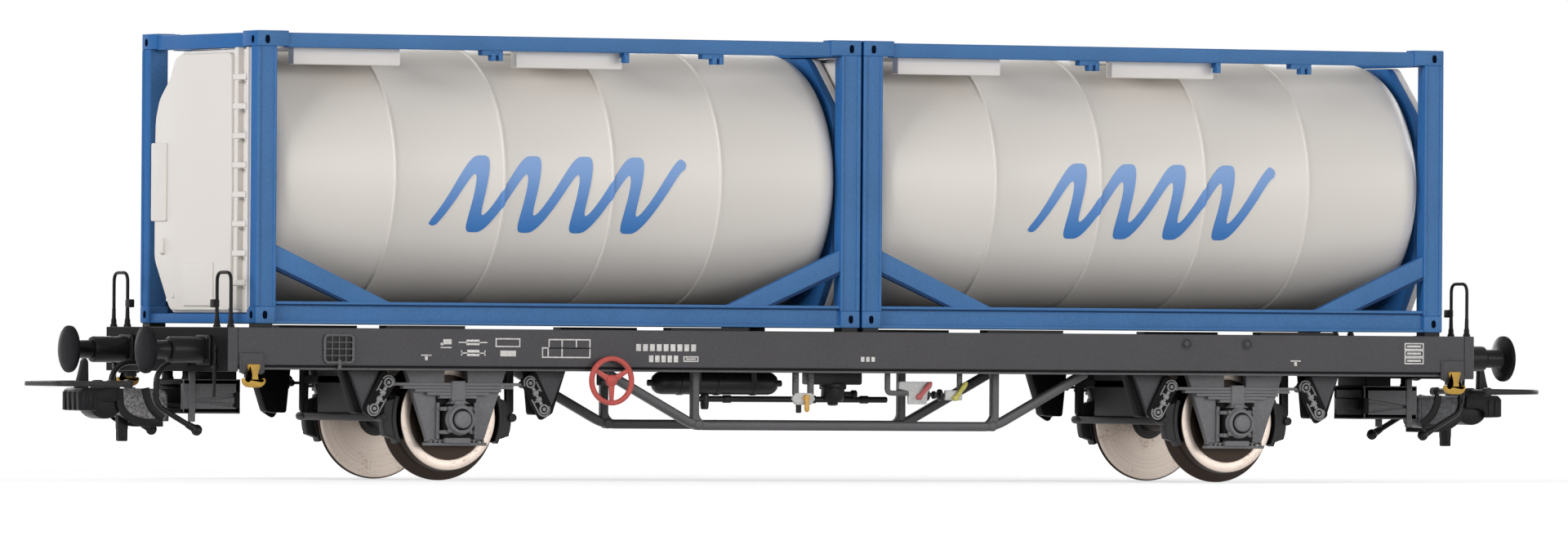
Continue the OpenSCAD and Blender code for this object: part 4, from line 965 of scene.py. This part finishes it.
pocket_grey = plastic("pocket_grey", (0.115, 0.111, 0.116), 0.48, mottle=0.24, specular=0.12)
pocket_in, pocket_out = [corner[0] for corner in limits("coupling_box_right")]
pocket_low, pocket_top, pocket_y = 6.75, 10.3, 3.3
strap_in, strap_out = pocket_out - 1.1, pocket_out - 0.85
pivot_x = 69.55
pocket = [block((pocket_in, -pocket_y, pocket_low), (pocket_out, pocket_y, pocket_low + 0.6), 0.12)]
pocket.append(block((pocket_in, -pocket_y, pocket_top - 0.6), (pocket_out, pocket_y, pocket_top), 0.12))
pocket.append(block((pocket_in, -pocket_y, pocket_low), (pocket_in + 0.6, pocket_y, pocket_top), 0.12))
pocket.append(block((pocket_in - 0.5, -2.2, 7.8), (pocket_in + 0.1, 2.2, 9.0), 0.1))
side = rectangle(pocket_in, pocket_low, pocket_out, pocket_top)
walls = [slab(rounded(side, 0.15, 3), -pocket_y + 0.3, -pocket_y + 0.6, 1, 0.04)]
face = [
    rectangle(pocket_in, pocket_low, pocket_out, 7.0),
    [(pocket_in, 9.02), (strap_in, 8.16), (strap_in, pocket_top), (pocket_in, pocket_top)],
    [(pocket_in, 6.95), (strap_in, 6.95), (strap_in, 8.0), (pocket_in, 7.35)],
    rectangle(strap_out, pocket_low, pocket_out, pocket_top),
]
walls += [slab(outline, -pocket_y, -pocket_y + 0.4, 1, 0.07) for outline in face]
wedge = [(pocket_in + 0.4, 7.75), (pocket_out - 2.6, 8.06), (pocket_in + 0.4, 8.5)]
walls.append(slab(wedge, -pocket_y + 0.12, -pocket_y + 0.4, 1, 0.06))
strap_low, strap_high = (pocket_out - 1.35, -pocket_y - 0.12, 5.9), (pocket_out - 0.65, -pocket_y + 0.3, 11.1)
walls.append(block(strap_low, strap_high, 0.08))
for y in (-2.3, 2.3):
    post = [(pocket_top - 0.1, 0.65), (pocket_top + 0.3, 0.5), (12.2, 0.5)]
    pocket.append(turned(post, (pocket_out - 0.9, y, 0), 2, 20))
pin = [(pocket_low + 0.3, 0.6), (pocket_top - 0.3, 0.6)]
pocket.append(turned(pin, (pivot_x, 0, 0), 2, 24))
pocket.append(block((pocket_in + 0.3, -3.1, pocket_top - 0.2), (pocket_in + 3.4, 3.1, 11.9), 0.15))
at_ends("pocket_{}", both(walls, 1), pocket_grey, "chassis_grey", "coupling_box_{}")
# The parts inside and above the box are near black: painted shade.
at_ends("pocket_inside_{}", pocket, recess_painted_shade, "chassis_grey")

# ---------------------------------------------------------------- couplings
# A shank on the pivot pin, a ribbed head with a hook that rises like a fin, a pin below that lifts
# the loop, and behind the head a rounded belly with a coarse grain: pale on the left end as a
# painted glint, dark on the right.


def granular(name, dark, pale, grain):
    """Cast metal with a coarse grain: cells of two tones with pits between them."""
    made = Finish(name, {"Specular IOR Level": 0.4})
    inputs = {"Vector": made.place, "Scale": 1 / (grain * MM)}
    cells = made.node("ShaderNodeTexVoronoi", {"feature": "F1"}, inputs)
    fine = made.noise(grain * 0.8, 4.0)
    tone = (cells * 0.9 + (fine - 0.5) * 1.5).clipped()
    return made.coat(made.mix(tone, shade(dark), shade(pale)), 0.55 - tone * 0.15, tone, 0.03)


coupling_black = plastic("coupling_black", (0.013, 0.0125, 0.014), 0.34, mottle=0.3, specular=0.08)
# The left belly's pale grain is a painted glint; the right belly is dark.
belly_painted_glint = granular("belly_painted_glint", (0.035, 0.034, 0.036), (0.3, 0.29, 0.29), 0.32)
belly_dark = granular("belly_dark", (0.015, 0.0155, 0.018), (0.06, 0.062, 0.068), 0.32)
head_x, head_end, loop_x, loop_z = 79.85, 84.1, 80.4, 9.75
head = [turned([(7.75, 1.15), (7.75, 1.4), (9.25, 1.4), (9.25, 1.15)], (pivot_x, 0, 0), 2, 32)]
head.append(block((pivot_x, -1.2, 7.75), (head_x + 0.5, 1.2, 9.25), 0.15))
outline = [(head_x + 2.3, 6.95), (head_end, 7.0), (head_end + 0.1, 8.9), (head_end - 0.25, 9.35), (head_x, 9.4)]
outline += [(head_x - 0.1, 8.0), (head_x + 1.6, 7.95), (head_x + 2.2, 7.7)]
head.append(slab(rounded(outline, 0.25), -2.2, 2.2, 1, 0.18))
for y in (-1.75, -0.6, 0.6, 1.75):
    head.append(block((head_end - 0.2, y - 0.3, 7.05), (head_end + 0.16, y + 0.3, 8.95), 0.07))
for x in (head_x + 2.75, head_x + 3.55):
    head.append(block((x - 0.13, -2.32, 7.05), (x + 0.13, 2.32, 8.85), 0.08))
drop = arc((head_x + 1.1, 7.9), (1.9, 1.75), 190, 345, 12)
head.append(slab(np.vstack([drop, [(head_x + 2.4, 8.2), (head_x - 0.6, 8.2)]]), -1.5, 1.5, 1, 0.2))
fin = [(head_end - 1.75, 9.2), (head_end - 0.25, 9.2), (head_end - 0.75, 10.9), (head_end - 1.05, 12.2)]
fin += [(head_end - 1.35, 12.45), (head_end - 1.68, 12.1), (head_end - 1.72, 10.6)]
head.append(slab(rounded(fin, 0.2), -0.38, 0.38, 1, 0.12))
lift = [(head_x - 2.0, 8.0), (head_x - 0.8, 8.0), (head_x - 0.9, 3.85), (head_x - 1.9, 3.85)]
head.append(slab(rounded(lift, 0.12, 3), -0.45, 0.45, 1, 0.1))
head.append(block((head_x - 1.6, -0.55, 3.95), (head_x - 1.2, -0.4, 7.0), 0.06))
for side in (-1.8, 1.8):
    ear = [(loop_x - 0.75, 9.2), (loop_x + 0.75, 9.2), (loop_x + 0.75, 9.85), (loop_x + 0.4, 10.15)]
    ear += [(loop_x - 0.4, 10.15), (loop_x - 0.75, 9.85)]
    head.append(slab(rounded(ear, 0.2), side - 0.4, side + 0.4, 1, 0.1))
lower_edge = [(head_x - 0.3, 9.25), (head_x - 0.45, 7.2), (head_x - 1.5, 6.2), (head_x - 3.2, 5.75)]
lower_edge.append((74.6, 5.8))
strap = [(76.6, 9.35), (76.4, 8.2), (75.8, 7.1), (74.6, 6.2)]
flat = rounded(oblong(0.12, 0.42), 0.09, 3)[:, ::-1]
for side in (-1, 1):
    for course, radius, wide in ((strap, 0.9, 1), (lower_edge, 0.8, 0.55)):
        line = upright(rounded(course, radius, 6, closed=False), side * 1.72)
        head.append(swept(line, flat * (1, wide), (0, 1, 0)))
belly = [(head_x - 0.05, 9.3), (head_x - 0.1, 7.2), (head_x - 1.2, 6.2), (head_x - 2.9, 5.75), (74.6, 5.85)]
belly += [(73.95, 6.3), (73.9, 8.9), (74.6, 9.3)]
bellies = [slab(rounded(belly, 0.7, 5), -1.7, 1.7, 1, 0.5)]
at_ends("coupler_head_{}", head, coupling_black, "chassis_black", "coupling_{}", "coupler_{}")
piece("coupler_belly_left", flipped(bellies, 0), belly_painted_glint, "coupler_left", "chassis_black")
piece("coupler_belly_right", bellies, belly_dark, "coupler_right", "chassis_black")

# ---------------------------------------------------------------- coupling loops
# A bow of flat bar that tapers to its front, hung on a cross pin in the head. It rises to let the
# neighbour's hook go.

loop_end, loop_y = 87.8, 5.6
half = [(loop_end - 0.42, loop_y - 1.2), (loop_end - 2.2, loop_y), (loop_x - 0.4, loop_y)]
bow = [(x, -y) for x, y in reversed(half)] + [(loop_end - 0.36, 0)] + half
flat_bar = rounded(oblong(0.4, 0.3), 0.2)
bow = rounded([(x, y, loop_z) for x, y in bow], 1.1, 7, closed=False)
loops = [swept(bow, flat_bar, widths=np.interp(bow[:, 0], (loop_x, loop_end), (1.12, 0.82)))]
loops.append(turned([(-5.98, 0.12), (-5.9, 0.25), (5.9, 0.25), (5.98, 0.12)], (loop_x, 0, loop_z), 1, 16))
for y in (-loop_y, loop_y):
    loops.append(turned([(-0.5, 0.3), (-0.42, 0.46), (0.42, 0.46), (0.5, 0.3)], (loop_x, y, loop_z), 1, 20))
loop_black = plastic("loop_black", (0.032, 0.03, 0.03), 0.4, mottle=0.3, specular=0.1)
at_ends("coupler_bow_{}", loops, loop_black, "chassis_black", "loop_{}", "coupler_loop_{}")

# ---------------------------------------------------------------- air hoses
# Stiff moulded hoses with a collar on the end beam and a ball at the tip, and a thin pipe on the
# end beam beside each outer corner. Black plastic with a soft shine.

hose_black = plastic("hose_black", (0.011, 0.0105, 0.011), 0.3, mottle=0.15, specular=0.12)
hose_y, hose_z = -5.5, beam_low[2] + 1.1
lower_turn = np.array([beam_x + 2.2, hose_z - 3.7])
slant, last_turn = np.radians(29), -np.radians(61)
sweep_back = lower_turn + 1.5 * np.array([np.cos(last_turn), np.sin(last_turn)])
tip = sweep_back + 4.4 * np.array([-np.cos(slant), -np.sin(slant)])
bends = [[(beam_x - 0.3, hose_z - 0.2), (beam_x + 0.8, hose_z - 0.2)]]
bends.append(arc((beam_x + 1.55, hose_z - 2.35), 2.15, 90, 0, 10))
bends.append(arc(lower_turn, 1.5, 0, -61, 10))
bends.append([sweep_back * 0.5 + tip * 0.5, tip])
hoses = [swept(upright(np.vstack(bends), hose_y), circle(0.3, 16), (0, 1, 0))]
hoses.append(turned([(-0.2, 0.5), (0.45, 0.5), (0.55, 0.4), (0.9, 0.34)], (beam_x, hose_y, hose_z), 0, 20))
hoses.append(turned(arc((0, 0), 0.6, -88, 88, 17)[:, ::-1], (tip[0], hose_y, tip[1]), 2, 28))
near_tip = tip * 0.72 + sweep_back * 0.28
sleeve = upright([near_tip, near_tip * 0.5 + tip * 0.5, tip], hose_y)
hoses.append(swept(sleeve, circle(0.42, 16), (0, 1, 0), widths=[0.85, 1, 1]))
pipe = [(beam_x + 0.1, -12.2, 13.8), (beam_x + 0.22, -12.15, 11.2), (beam_x + 0.2, -12.0, 8.5)]
hoses.append(swept(pipe, circle(0.17, 12), (0, 1, 0)))
for z in (13.3, 11.6):
    hoses.append(block((beam_x - 0.05, -12.5, z - 0.22), (beam_x + 0.4, -11.85, z + 0.22), 0.08))
at_ends("hoses_{}", both(hoses, 1), hose_black, "chassis_black", "air_hoses_{}")

# ---------------------------------------------------------------- tanks
# The tank barrels of the two containers, cream white plastic with fine weld beads, rounded
# shoulders and a flat end. The mould leaves a faint orange-peel face.


def cream(name, colour, roughness):
    """Cream plastic: broad warm and cool patches, dust-fine specks, and an orange-peel face."""
    made = Finish(name, {"Specular IOR Level": 0.35})
    wide, peel, speck = made.noise(14.0, 2.0), made.noise(0.9, 2.0), made.noise(0.16, 3.0)
    warm = made.mix(wide, shade(colour, 0.975), (colour[0] * 1.02, colour[1] * 1.015, colour[2] * 1.0, 1.0))
    fleck = ((speck - 0.66) * 6).clipped() * 0.22
    flecked = made.mix(fleck, warm, shade(colour, 0.82))
    return made.coat(flecked, roughness + (wide - 0.5) * 0.1, peel * 0.8 + speck * 0.2, 0.006)


tank_cream = cream("tank_cream", (0.66, 0.625, 0.585), 0.42)
box_x, box_z = 35.05, 16.05
tank_z, tank_r, plate_x, panel_x = 31.4, 13.35, 33.15, 33.95
knuckle_r = 2.8
shoulder = arc((tank_r - knuckle_r, plate_x - knuckle_r), knuckle_r, 0, 90, 12)[:, ::-1]
BEAD = ((-0.3, 0), (-0.2, 0.03), (-0.14, 0.15), (-0.06, 0.2), (0.06, 0.2), (0.14, 0.15), (0.2, 0.03), (0.3, 0))
barrel = [(0, tank_r)]
for x in (6.275, 18.825):
    barrel += [(x + d, tank_r + h) for d, h in BEAD]
barrel = np.vstack([barrel, shoulder, [(plate_x, 0.2)]])
barrel = np.vstack([barrel[::-1] * (-1, 1), barrel[1:]])


def carried(name, parts, finish, slot, gone=""):
    """One object in each container, from shells given about the container's underside middle."""
    replaced = gone + "_{}" if gone else ""
    lifted = moved(parts, (0, 0, box_z))
    at_ends(name + "_{}", lifted, finish, slot, replaced, "container_{}", middle=box_x)


tank_axis = tank_z - box_z
carried("tank_barrel", [turned(barrel, (0, 0, tank_axis), 0, 160)], tank_cream, "tank_cream", "tank")

# ---------------------------------------------------------------- printed waves
# The sign on each side of a tank is a plain band of tall slanting waves that turns from a paler to
# a deeper blue downwards, a printed film 0.05 mm thick that follows the barrel and its beads.


def band(x, low, high, sideways):
    """Film between two heights over the axis, measured round the barrel, at each x. A point of it
    leans along X by 0.42 of its height and lies at the barrel's radius there."""
    share = np.linspace(0, 1, 23)
    height = low[:, None] + (high - low)[:, None] * share
    across = x[:, None] + 0.42 * height
    radius = np.interp(across, barrel[:, 0], barrel[:, 1])
    loops = []
    for lift, order in ((0.05, slice(None)), (-0.04, slice(None, None, -1))):
        turn, far = height[:, order] / tank_r, radius[:, order] + lift
        loops.append(np.stack([across[:, order], -far * np.cos(turn), tank_axis + far * np.sin(turn)], axis=-1))
    points, faces = shell(np.concatenate(loops, axis=1))
    return points * (sideways, sideways, 1), faces


def wave_finish():
    """Printed blue: paler with height on the tank, and a fine uneven film."""
    made = Finish("wave_blue", {"Specular IOR Level": 0.3})
    speck = made.noise(0.25, 3.0)
    level = ((made.along("Z", made.place) - 26.0 * MM) / (8.0 * MM) + (speck - 0.5) * 0.12).clipped()
    blue = made.mix(level, (0.032, 0.16, 0.44, 1.0), (0.2, 0.34, 0.62, 1.0))
    return made.coat(blue, 0.42 + (speck - 0.5) * 0.1, made.noise(0.9, 2.0), 0.004)


wave_start, wave_end, wave_length = -12.4, 14.2, 5.95
across = np.linspace(wave_start, wave_end, 500)
phase = (across - wave_start) / wave_length * 2 * np.pi - 1.2
ends = np.clip(np.minimum(across - wave_start, wave_end - across) / 0.9, 0.06, 1) ** 0.5
middle = -1.9 + 3.1 * np.sin(phase)
half_tall = (0.95 + 1.55 * np.cos(phase) ** 2) * ends
waves = [band(across, middle - half_tall, middle + half_tall, sideways) for sideways in (1, -1)]
carried("printed_waves", waves, wave_finish(), "frame_blue")

# ---------------------------------------------------------------- end plates and end panels
# A blue eight-cornered plate carries each end of the tank. In front of it is a white panel: plain
# at the right end, and at the left end with a raised door, two boxes, a catch and a strip for the
# ladder.


def painted(name, end_colour, sheen_side_colour, roughness):
    """Blue plastic, a little greyer on the faces that look along Y as a painted sheen of the lamps in
    front, with soft patches and specks."""
    made = Finish(name, {"Specular IOR Level": 0.06})
    facing = made.facing("Y")
    # Faces that look along Y take the side colour: a painted sheen.
    painted_sheen = (facing * facing * 1.3 - 0.2).clipped()
    patches, specks = made.noise(6.0, 3.0), made.noise(0.22, 3.0)
    tone = ((patches - 0.5) * 1.1 + (specks - 0.5) * 1.5 + 0.5).clipped()
    end, side = [made.mix(tone, shade(c, 0.87), shade(c, 1.13)) for c in (end_colour, sheen_side_colour)]
    blue = made.mix(painted_sheen, end, side)
    return made.coat(blue, roughness + (patches - 0.5) * 0.12, made.noise(0.16, 4.0), 0.008)


frame_blue = painted("frame_blue", (0.026, 0.125, 0.345), (0.062, 0.162, 0.35), 0.42)
# Dark blue for painted shadow.
painted_shadow_blue = plastic("painted_shadow_blue", (0.014, 0.04, 0.11), 0.5, mottle=0.15, specular=0.05)
eight = [(4.8, 28.2), (10.2, 23.3), (11.0, 21.3), (11.0, 8.6), (10.9, 6.7), (7.0, 1.15)]
eight = np.array(eight + [(-y, z) for y, z in reversed(eight)])
plates = [slab(rounded(eight, 0.6), plate_x - 0.05, panel_x + 0.02, 0, 0.12)]
carried("eight_plates", both(plates, 0), frame_blue, "frame_blue", "end_plates")
panel_white = cream("panel_white", (0.7, 0.665, 0.635), 0.4)
fronts = [slab(rounded(eight, 0.5), panel_x, panel_x + 0.8, 0, 0.12)]
edge = [(4.6, 28.1), (6.2, 27.3), (7.3, 25.4), (8.2, 24.6), (9.9, 23.2), (10.8, 21.2), (10.95, 18.4)]
edge += [(10.9, 6.6), (7.0, 1.1)]
whole = rounded(np.array(edge + [(-11.75, 1.1), (-11.75, 28.15)]), 0.3)
door = [(y - 0.35, np.clip(z, 1.3, 27.8)) for y, z in edge] + [(-7.75, 1.3), (-8.0, 14.0), (-7.75, 27.8)]
door = rounded(np.array(door), 0.7, 6)
relief = [slab(whole, panel_x, panel_x + 0.5, 0, 0.1), slab(door, panel_x + 0.3, panel_x + 1.0, 0, 0.16)]
relief.append(block((panel_x + 0.6, 7.3, 10.55), (panel_x + 1.3, 10.85, 18.65), 0.14, 0))
relief.append(block((panel_x + 0.7, -4.0, 1.75), (panel_x + 1.22, 3.0, 6.25), 0.12, 0))
catch = [(7.05, 0.15), (7.25, 0.42), (7.9, 0.5), (8.6, 0.42), (8.9, 0.15)]
relief.append(turned(catch, (panel_x + 1.0, 8.3, 0), 2, 20))
for y, z in ((5.8, 2.8), (9.0, 15.0)):
    button = [(panel_x + 0.8, 0.26), (panel_x + 1.1, 0.24), (panel_x + 1.16, 0.16)]
    relief.append(turned(button, (0, y, z), 0, 14))
relief.append(block((panel_x + 0.2, -12.35, 1.3), (panel_x + 0.9, -11.7, 28.2), 0.06))
relief = flipped(relief, 0)
carried("end_fronts", fronts + relief, panel_white, "tank_cream", "end_panels")

# ---------------------------------------------------------------- top and bottom frames
# Blue rails between corner castings: at the top a plain box rail between castings with two arms,
# with short brackets under it; at the bottom a channel with lips. The castings' oval openings are
# shallow near-black cups: painted shade.

top_rail_z, top_z, cast_x, cast_y, cast_top = 28.3, 29.8, 34.9, 14, 30


def hole_ring(centre, axis, half_wide, half_tall, outward):
    """Oval hollow of a casting: a shallow cup of the oval's outline with a rounded lip, near black as painted
    shade.
    """
    oval = circle(1.0, 28)
    oval = np.sign(oval) * np.abs(oval) ** 0.75 * (half_wide, half_tall)
    ends = sorted([centre[axis] - outward * 0.1, centre[axis] + outward * 0.012])
    return slab(oval + np.delete(centre, axis), *ends, axis, 0.006)


arm = [(cast_x, cast_y), (cast_x, 10.4), (32.7, 10.4), (32.7, 12.1), (31.3, 12.1), (31.3, cast_y)]
top_corner = [slab(rounded(arm, 0.12, 3), 28.4, cast_top, 2, 0.1)]
top_side = [block((-31.4, 12.55, top_rail_z), (31.4, 13.85, top_z), 0.1)]
for low, high, tabs in ((-9.1, -6.7, (0.55, 1.35)), (7.3, 7.9, (0.55,)), (16.4, 18.9, (0.55, 1.35))):
    top_side.append(block((low, 12.6, top_rail_z - 0.5), (high, 13.7, top_rail_z + 0.2), 0.08))
    for tab in tabs:
        inner = (high - tab, 12.8, top_rail_z - 1.05)
        top_side.append(block(inner, (high - tab + 0.5, 13.8, top_rail_z - 0.2), 0.08))
top_end = [block((33.3, -10.5, top_rail_z), (34.75, 10.5, top_z), 0.1, 0)]
base_corner = [block((32.7, 11.8, 0), (cast_x, cast_y, 1.75), 0.1)]
base_side = [block((-32.8, 12.55, low), (32.8, 13.85, low + 0.3), 0.05) for low in (0, 2.0)]
base_side.append(block((-32.8, 12.7, 0.1), (32.8, 13.5, 2.2), 0.04))
base_end = [block((33.3, -11.9, 0), (34.75, 11.9, 1.0), 0.1, 0)]
top = both(top_corner, 0, 1) + both(top_side, 1) + both(top_end, 0)
base = both(base_corner, 0, 1) + both(base_side, 1) + both(base_end, 0)
carried("top_frame_rails", top, frame_blue, "frame_blue", "top_frame")
carried("base_frame_rails", base, frame_blue, "frame_blue", "base_frame")
hollow_painted_shade = plastic("hollow_painted_shade", (0.003, 0.006, 0.016), 0.6, mottle=0.2, specular=0.0)
hollows = [hole_ring((33.8, -12.9, cast_top), 2, 0.5, 0.36, 1)]
for x, half_tall, z in ((33.75, 0.43, 29.1), (33.85, 0.42, 0.88)):
    hollows.append(hole_ring((x, -cast_y, z), 1, 0.27, half_tall, -1))
    hollows.append(hole_ring((cast_x, -12.9, z), 0, 0.34, 0.4, 1))
carried("casting_hollows", both(hollows, 0, 1), hollow_painted_shade, "frame_blue")

# ---------------------------------------------------------------- corner posts and braces
# Four posts, each with a rolled inner edge, and flat diagonal braces in the side frames' lower
# corners that have a folded lower edge. The folds and a strip under the base rail's upper lip are
# dark blue painted shadow.

post = [block((32.7, -13.9, 1.7), (34.8, -12.2, 28.45), 0.12, 2)]
post.append(block((32.62, -14.0, 1.75), (32.95, -13.4, 28.4), 0.08, 2))
post.append(block((34.45, -14.0, 1.75), (34.9, -13.55, 28.4), 0.08, 2))
brace = [(32.75, 8.15), (32.75, 5.85), (24.2, 2.25), (19.5, 2.25)]
post.append(slab(brace, -13.8, -13.1, 1, 0.06))
carried("posts_and_braces", both(post, 0, 1), frame_blue, "frame_blue", "corner_posts")
# Dark blue painted shadow on the braces' folds and under the base rail's upper lip.
fold = [(32.72, 5.95), (32.72, 5.55), (24.1, 1.95), (23.4, 2.25), (24.25, 2.32)]
shadows = [slab(fold, -13.84, -13.2, 1, 0.04)]
shadows.append(block((-32.7, -13.72, 1.86), (0, -13.3, 2.0), 0.02))
shadows.append(block((0, -13.72, 1.86), (32.7, -13.3, 2.0), 0.02))
carried("brace_and_rail_painted_shadows", both(shadows, 0, 1), painted_shadow_blue, "frame_blue")

# ---------------------------------------------------------------- ladders
# A white ladder on the strip beside each left end panel: two rails and eight rungs, each rung
# with a small foot at either side.

ladder_x, ladder_y = panel_x + 0.72, -12.3
inner_y, lowest, pitch = ladder_y + 2.4, 3.86, 3.014
ladder = []
for y, wide in ((ladder_y, 0.42), (inner_y, 0.8)):
    ladder.append(block((ladder_x - 0.3, y, 1.35), (ladder_x + 0.5, y + wide, 28.3), 0.08, 2))
for z in lowest + pitch * np.arange(8):
    rung_end = (ladder_x + 0.72, inner_y + 0.75, z + 0.6)
    ladder.append(block((ladder_x + 0.2, ladder_y + 0.1, z), rung_end, 0.1, 1))
    for y in (ladder_y + 0.42, inner_y - 0.3):
        ladder.append(block((ladder_x + 0.05, y, z - 0.2), (ladder_x + 0.56, y + 0.3, z + 0.62), 0.08, 1))
ladder = flipped(ladder, 0)
carried("ladder_bars", ladder, panel_white, "tank_cream", "ladder")

# ---------------------------------------------------------------- roof trays and manholes
# White trays between the top rails and the tank's crown, with a folded rim, and the manhole with a
# hinged lid and four clamps.

trays = []
tray_y = 12.25
for x0, x1 in ((-30, -17.2), (-4.5, 8.4)):
    trays.append(block((x0, -tray_y, 26.6), (x1 - 0.6, -tray_y + 1.3, 28.45), 0.12))
    trays.append(block((x0, -tray_y + 0.6, 28.1), (x1 - 0.6, -tray_y + 6.5, 28.45), 0.08))
    trays.append(block((x0, -tray_y + 6.15, 28.0), (x1 - 0.6, -tray_y + 6.5, 28.65), 0.08))
    for x in np.linspace(x0 + 2, x1 - 2, 4):
        trays.append(turned([(28.2, 0.3), (28.42, 0.28), (28.48, 0.16)], (x, -tray_y + 2.2, 0), 2, 14))
trays = both(trays, 1)
neck = [(27.6, 2.6), (28.9, 2.6), (28.95, 2.85), (29.15, 2.85), (29.2, 2.6), (29.35, 2.5)]
neck += [(29.5, 1.6), (29.55, 0.2)]
trays.append(turned(neck, (0, 0, 0), 2, 64))
for a in np.radians([45, 135, 225, 315]):
    clamp = (2.75 * np.cos(a), 2.75 * np.sin(a), 0)
    trays.append(turned([(28.7, 0.22), (29.4, 0.24), (29.5, 0.15)], clamp, 2, 12))
trays.append(block((-0.9, 2.5, 28.9), (0.9, 3.3, 29.45), 0.12))
carried("trays_and_manhole", trays, panel_white, "tank_cream", "roof_trays")

# ---------------------------------------------------------------- floor, light and camera
# A pale table under an even tent that is dimmer overhead, with a wide soft lamp at the front, one
# at the back and a smaller one at each end. Table and tent look white to the camera and in shiny
# metal, and near the wagon the table glows less, so that the shadow stays on it.

reach = 12.0
floor_mesh = bpy.data.meshes.new("table")
floor_corners = [(-reach, -reach, 0), (reach, -reach, 0), (reach, reach, 0), (-reach, reach, 0)]
floor_mesh.from_pydata(floor_corners, [], [(0, 1, 2, 3)])
table = bpy.data.objects.new("table", floor_mesh)
bpy.context.scene.collection.objects.link(table)
made = Finish("table", {"Base Color": (0.8, 0.8, 0.8, 1), "Roughness": 0.9, "Specular IOR Level": 0.0})
camera_ray, glossy, through = made.rays()
distance = made.node("ShaderNodeVectorMath", {"operation": "LENGTH"}, {0: made.place}, output="Value")
near = (1.4 - distance * 2.5).clipped()
glow = camera_ray * (0.93 - near * 0.4) + (glossy + through).clipped() * 0.9
made.feed(made.base, {"Emission Color": (1, 1, 1, 1), "Emission Strength": glow})
floor_mesh.materials.append(made.material)

scene = bpy.context.scene
scene.view_settings.view_transform = "Standard"
scene.world = bpy.data.worlds.new("tent")
tent = Nodes(scene.world)
height = tent.along("Z", tent.node("ShaderNodeTexCoord", output="Generated"))
fall = {"Value": height, "From Min": 0.05, "From Max": 0.75, "To Min": 0.47, "To Max": 0.05}
dimmer = tent.node("ShaderNodeMapRange", inputs=fall)
camera_ray, glossy, through = tent.rays()
direct = (camera_ray + glossy + through).clipped()
strength = tent.node("ShaderNodeMapRange", inputs={"Value": direct, "To Min": dimmer, "To Max": 1.0})
tent.feed(tent.tree.nodes["Background"], {"Color": (1, 1, 1, 1), "Strength": strength})


def lamp(name, place, size, power):
    """Rectangular soft lamp at a place in metres, facing the wagon's middle."""
    light = bpy.data.lights.new(name, "AREA")
    light.shape, light.size, light.size_y, light.energy = "RECTANGLE", *size, power
    made = bpy.data.objects.new(name, light)
    scene.collection.objects.link(made)
    made.location = place
    made.rotation_euler = (Vector((0, 0, 0.025)) - Vector(place)).to_track_quat("-Z", "Y").to_euler()


lamp("front_lamp", (0.3, -0.85, 0.15), (0.9, 0.4), 5.0)
lamp("left_lamp", (-0.85, -0.25, 0.3), (0.4, 0.4), 5.6)
lamp("back_lamp", (0.3, 0.85, 0.15), (0.9, 0.4), 5.0)
lamp("right_lamp", (0.85, 0.25, 0.3), (0.4, 0.4), 4.2)

yaw, pitch, roll = np.radians([-27.41, 0.3156, -0.3955])
turn = Matrix.Rotation(yaw, 3, "Z") @ Matrix.Rotation(pitch, 3, "X") @ Matrix.Rotation(roll, 3, "Y")
right, ahead, above = [Vector(turn.col[i]) for i in range(3)]
view_middle, distance = Vector((-1.844, 0, 22.07)), 1587.4
camera_data = bpy.data.cameras.new("camera")
camera = bpy.data.objects.new("camera", camera_data)
scene.collection.objects.link(camera)
camera_data.sensor_width, camera_data.lens = 36.0, 346.434375
camera_data.clip_start, camera_data.clip_end = 0.1, 50
place = (view_middle - ahead * distance) * MM
camera.matrix_world = Matrix.Translation(place) @ Matrix((right, above, -ahead)).transposed().to_4x4()
scene.camera = camera
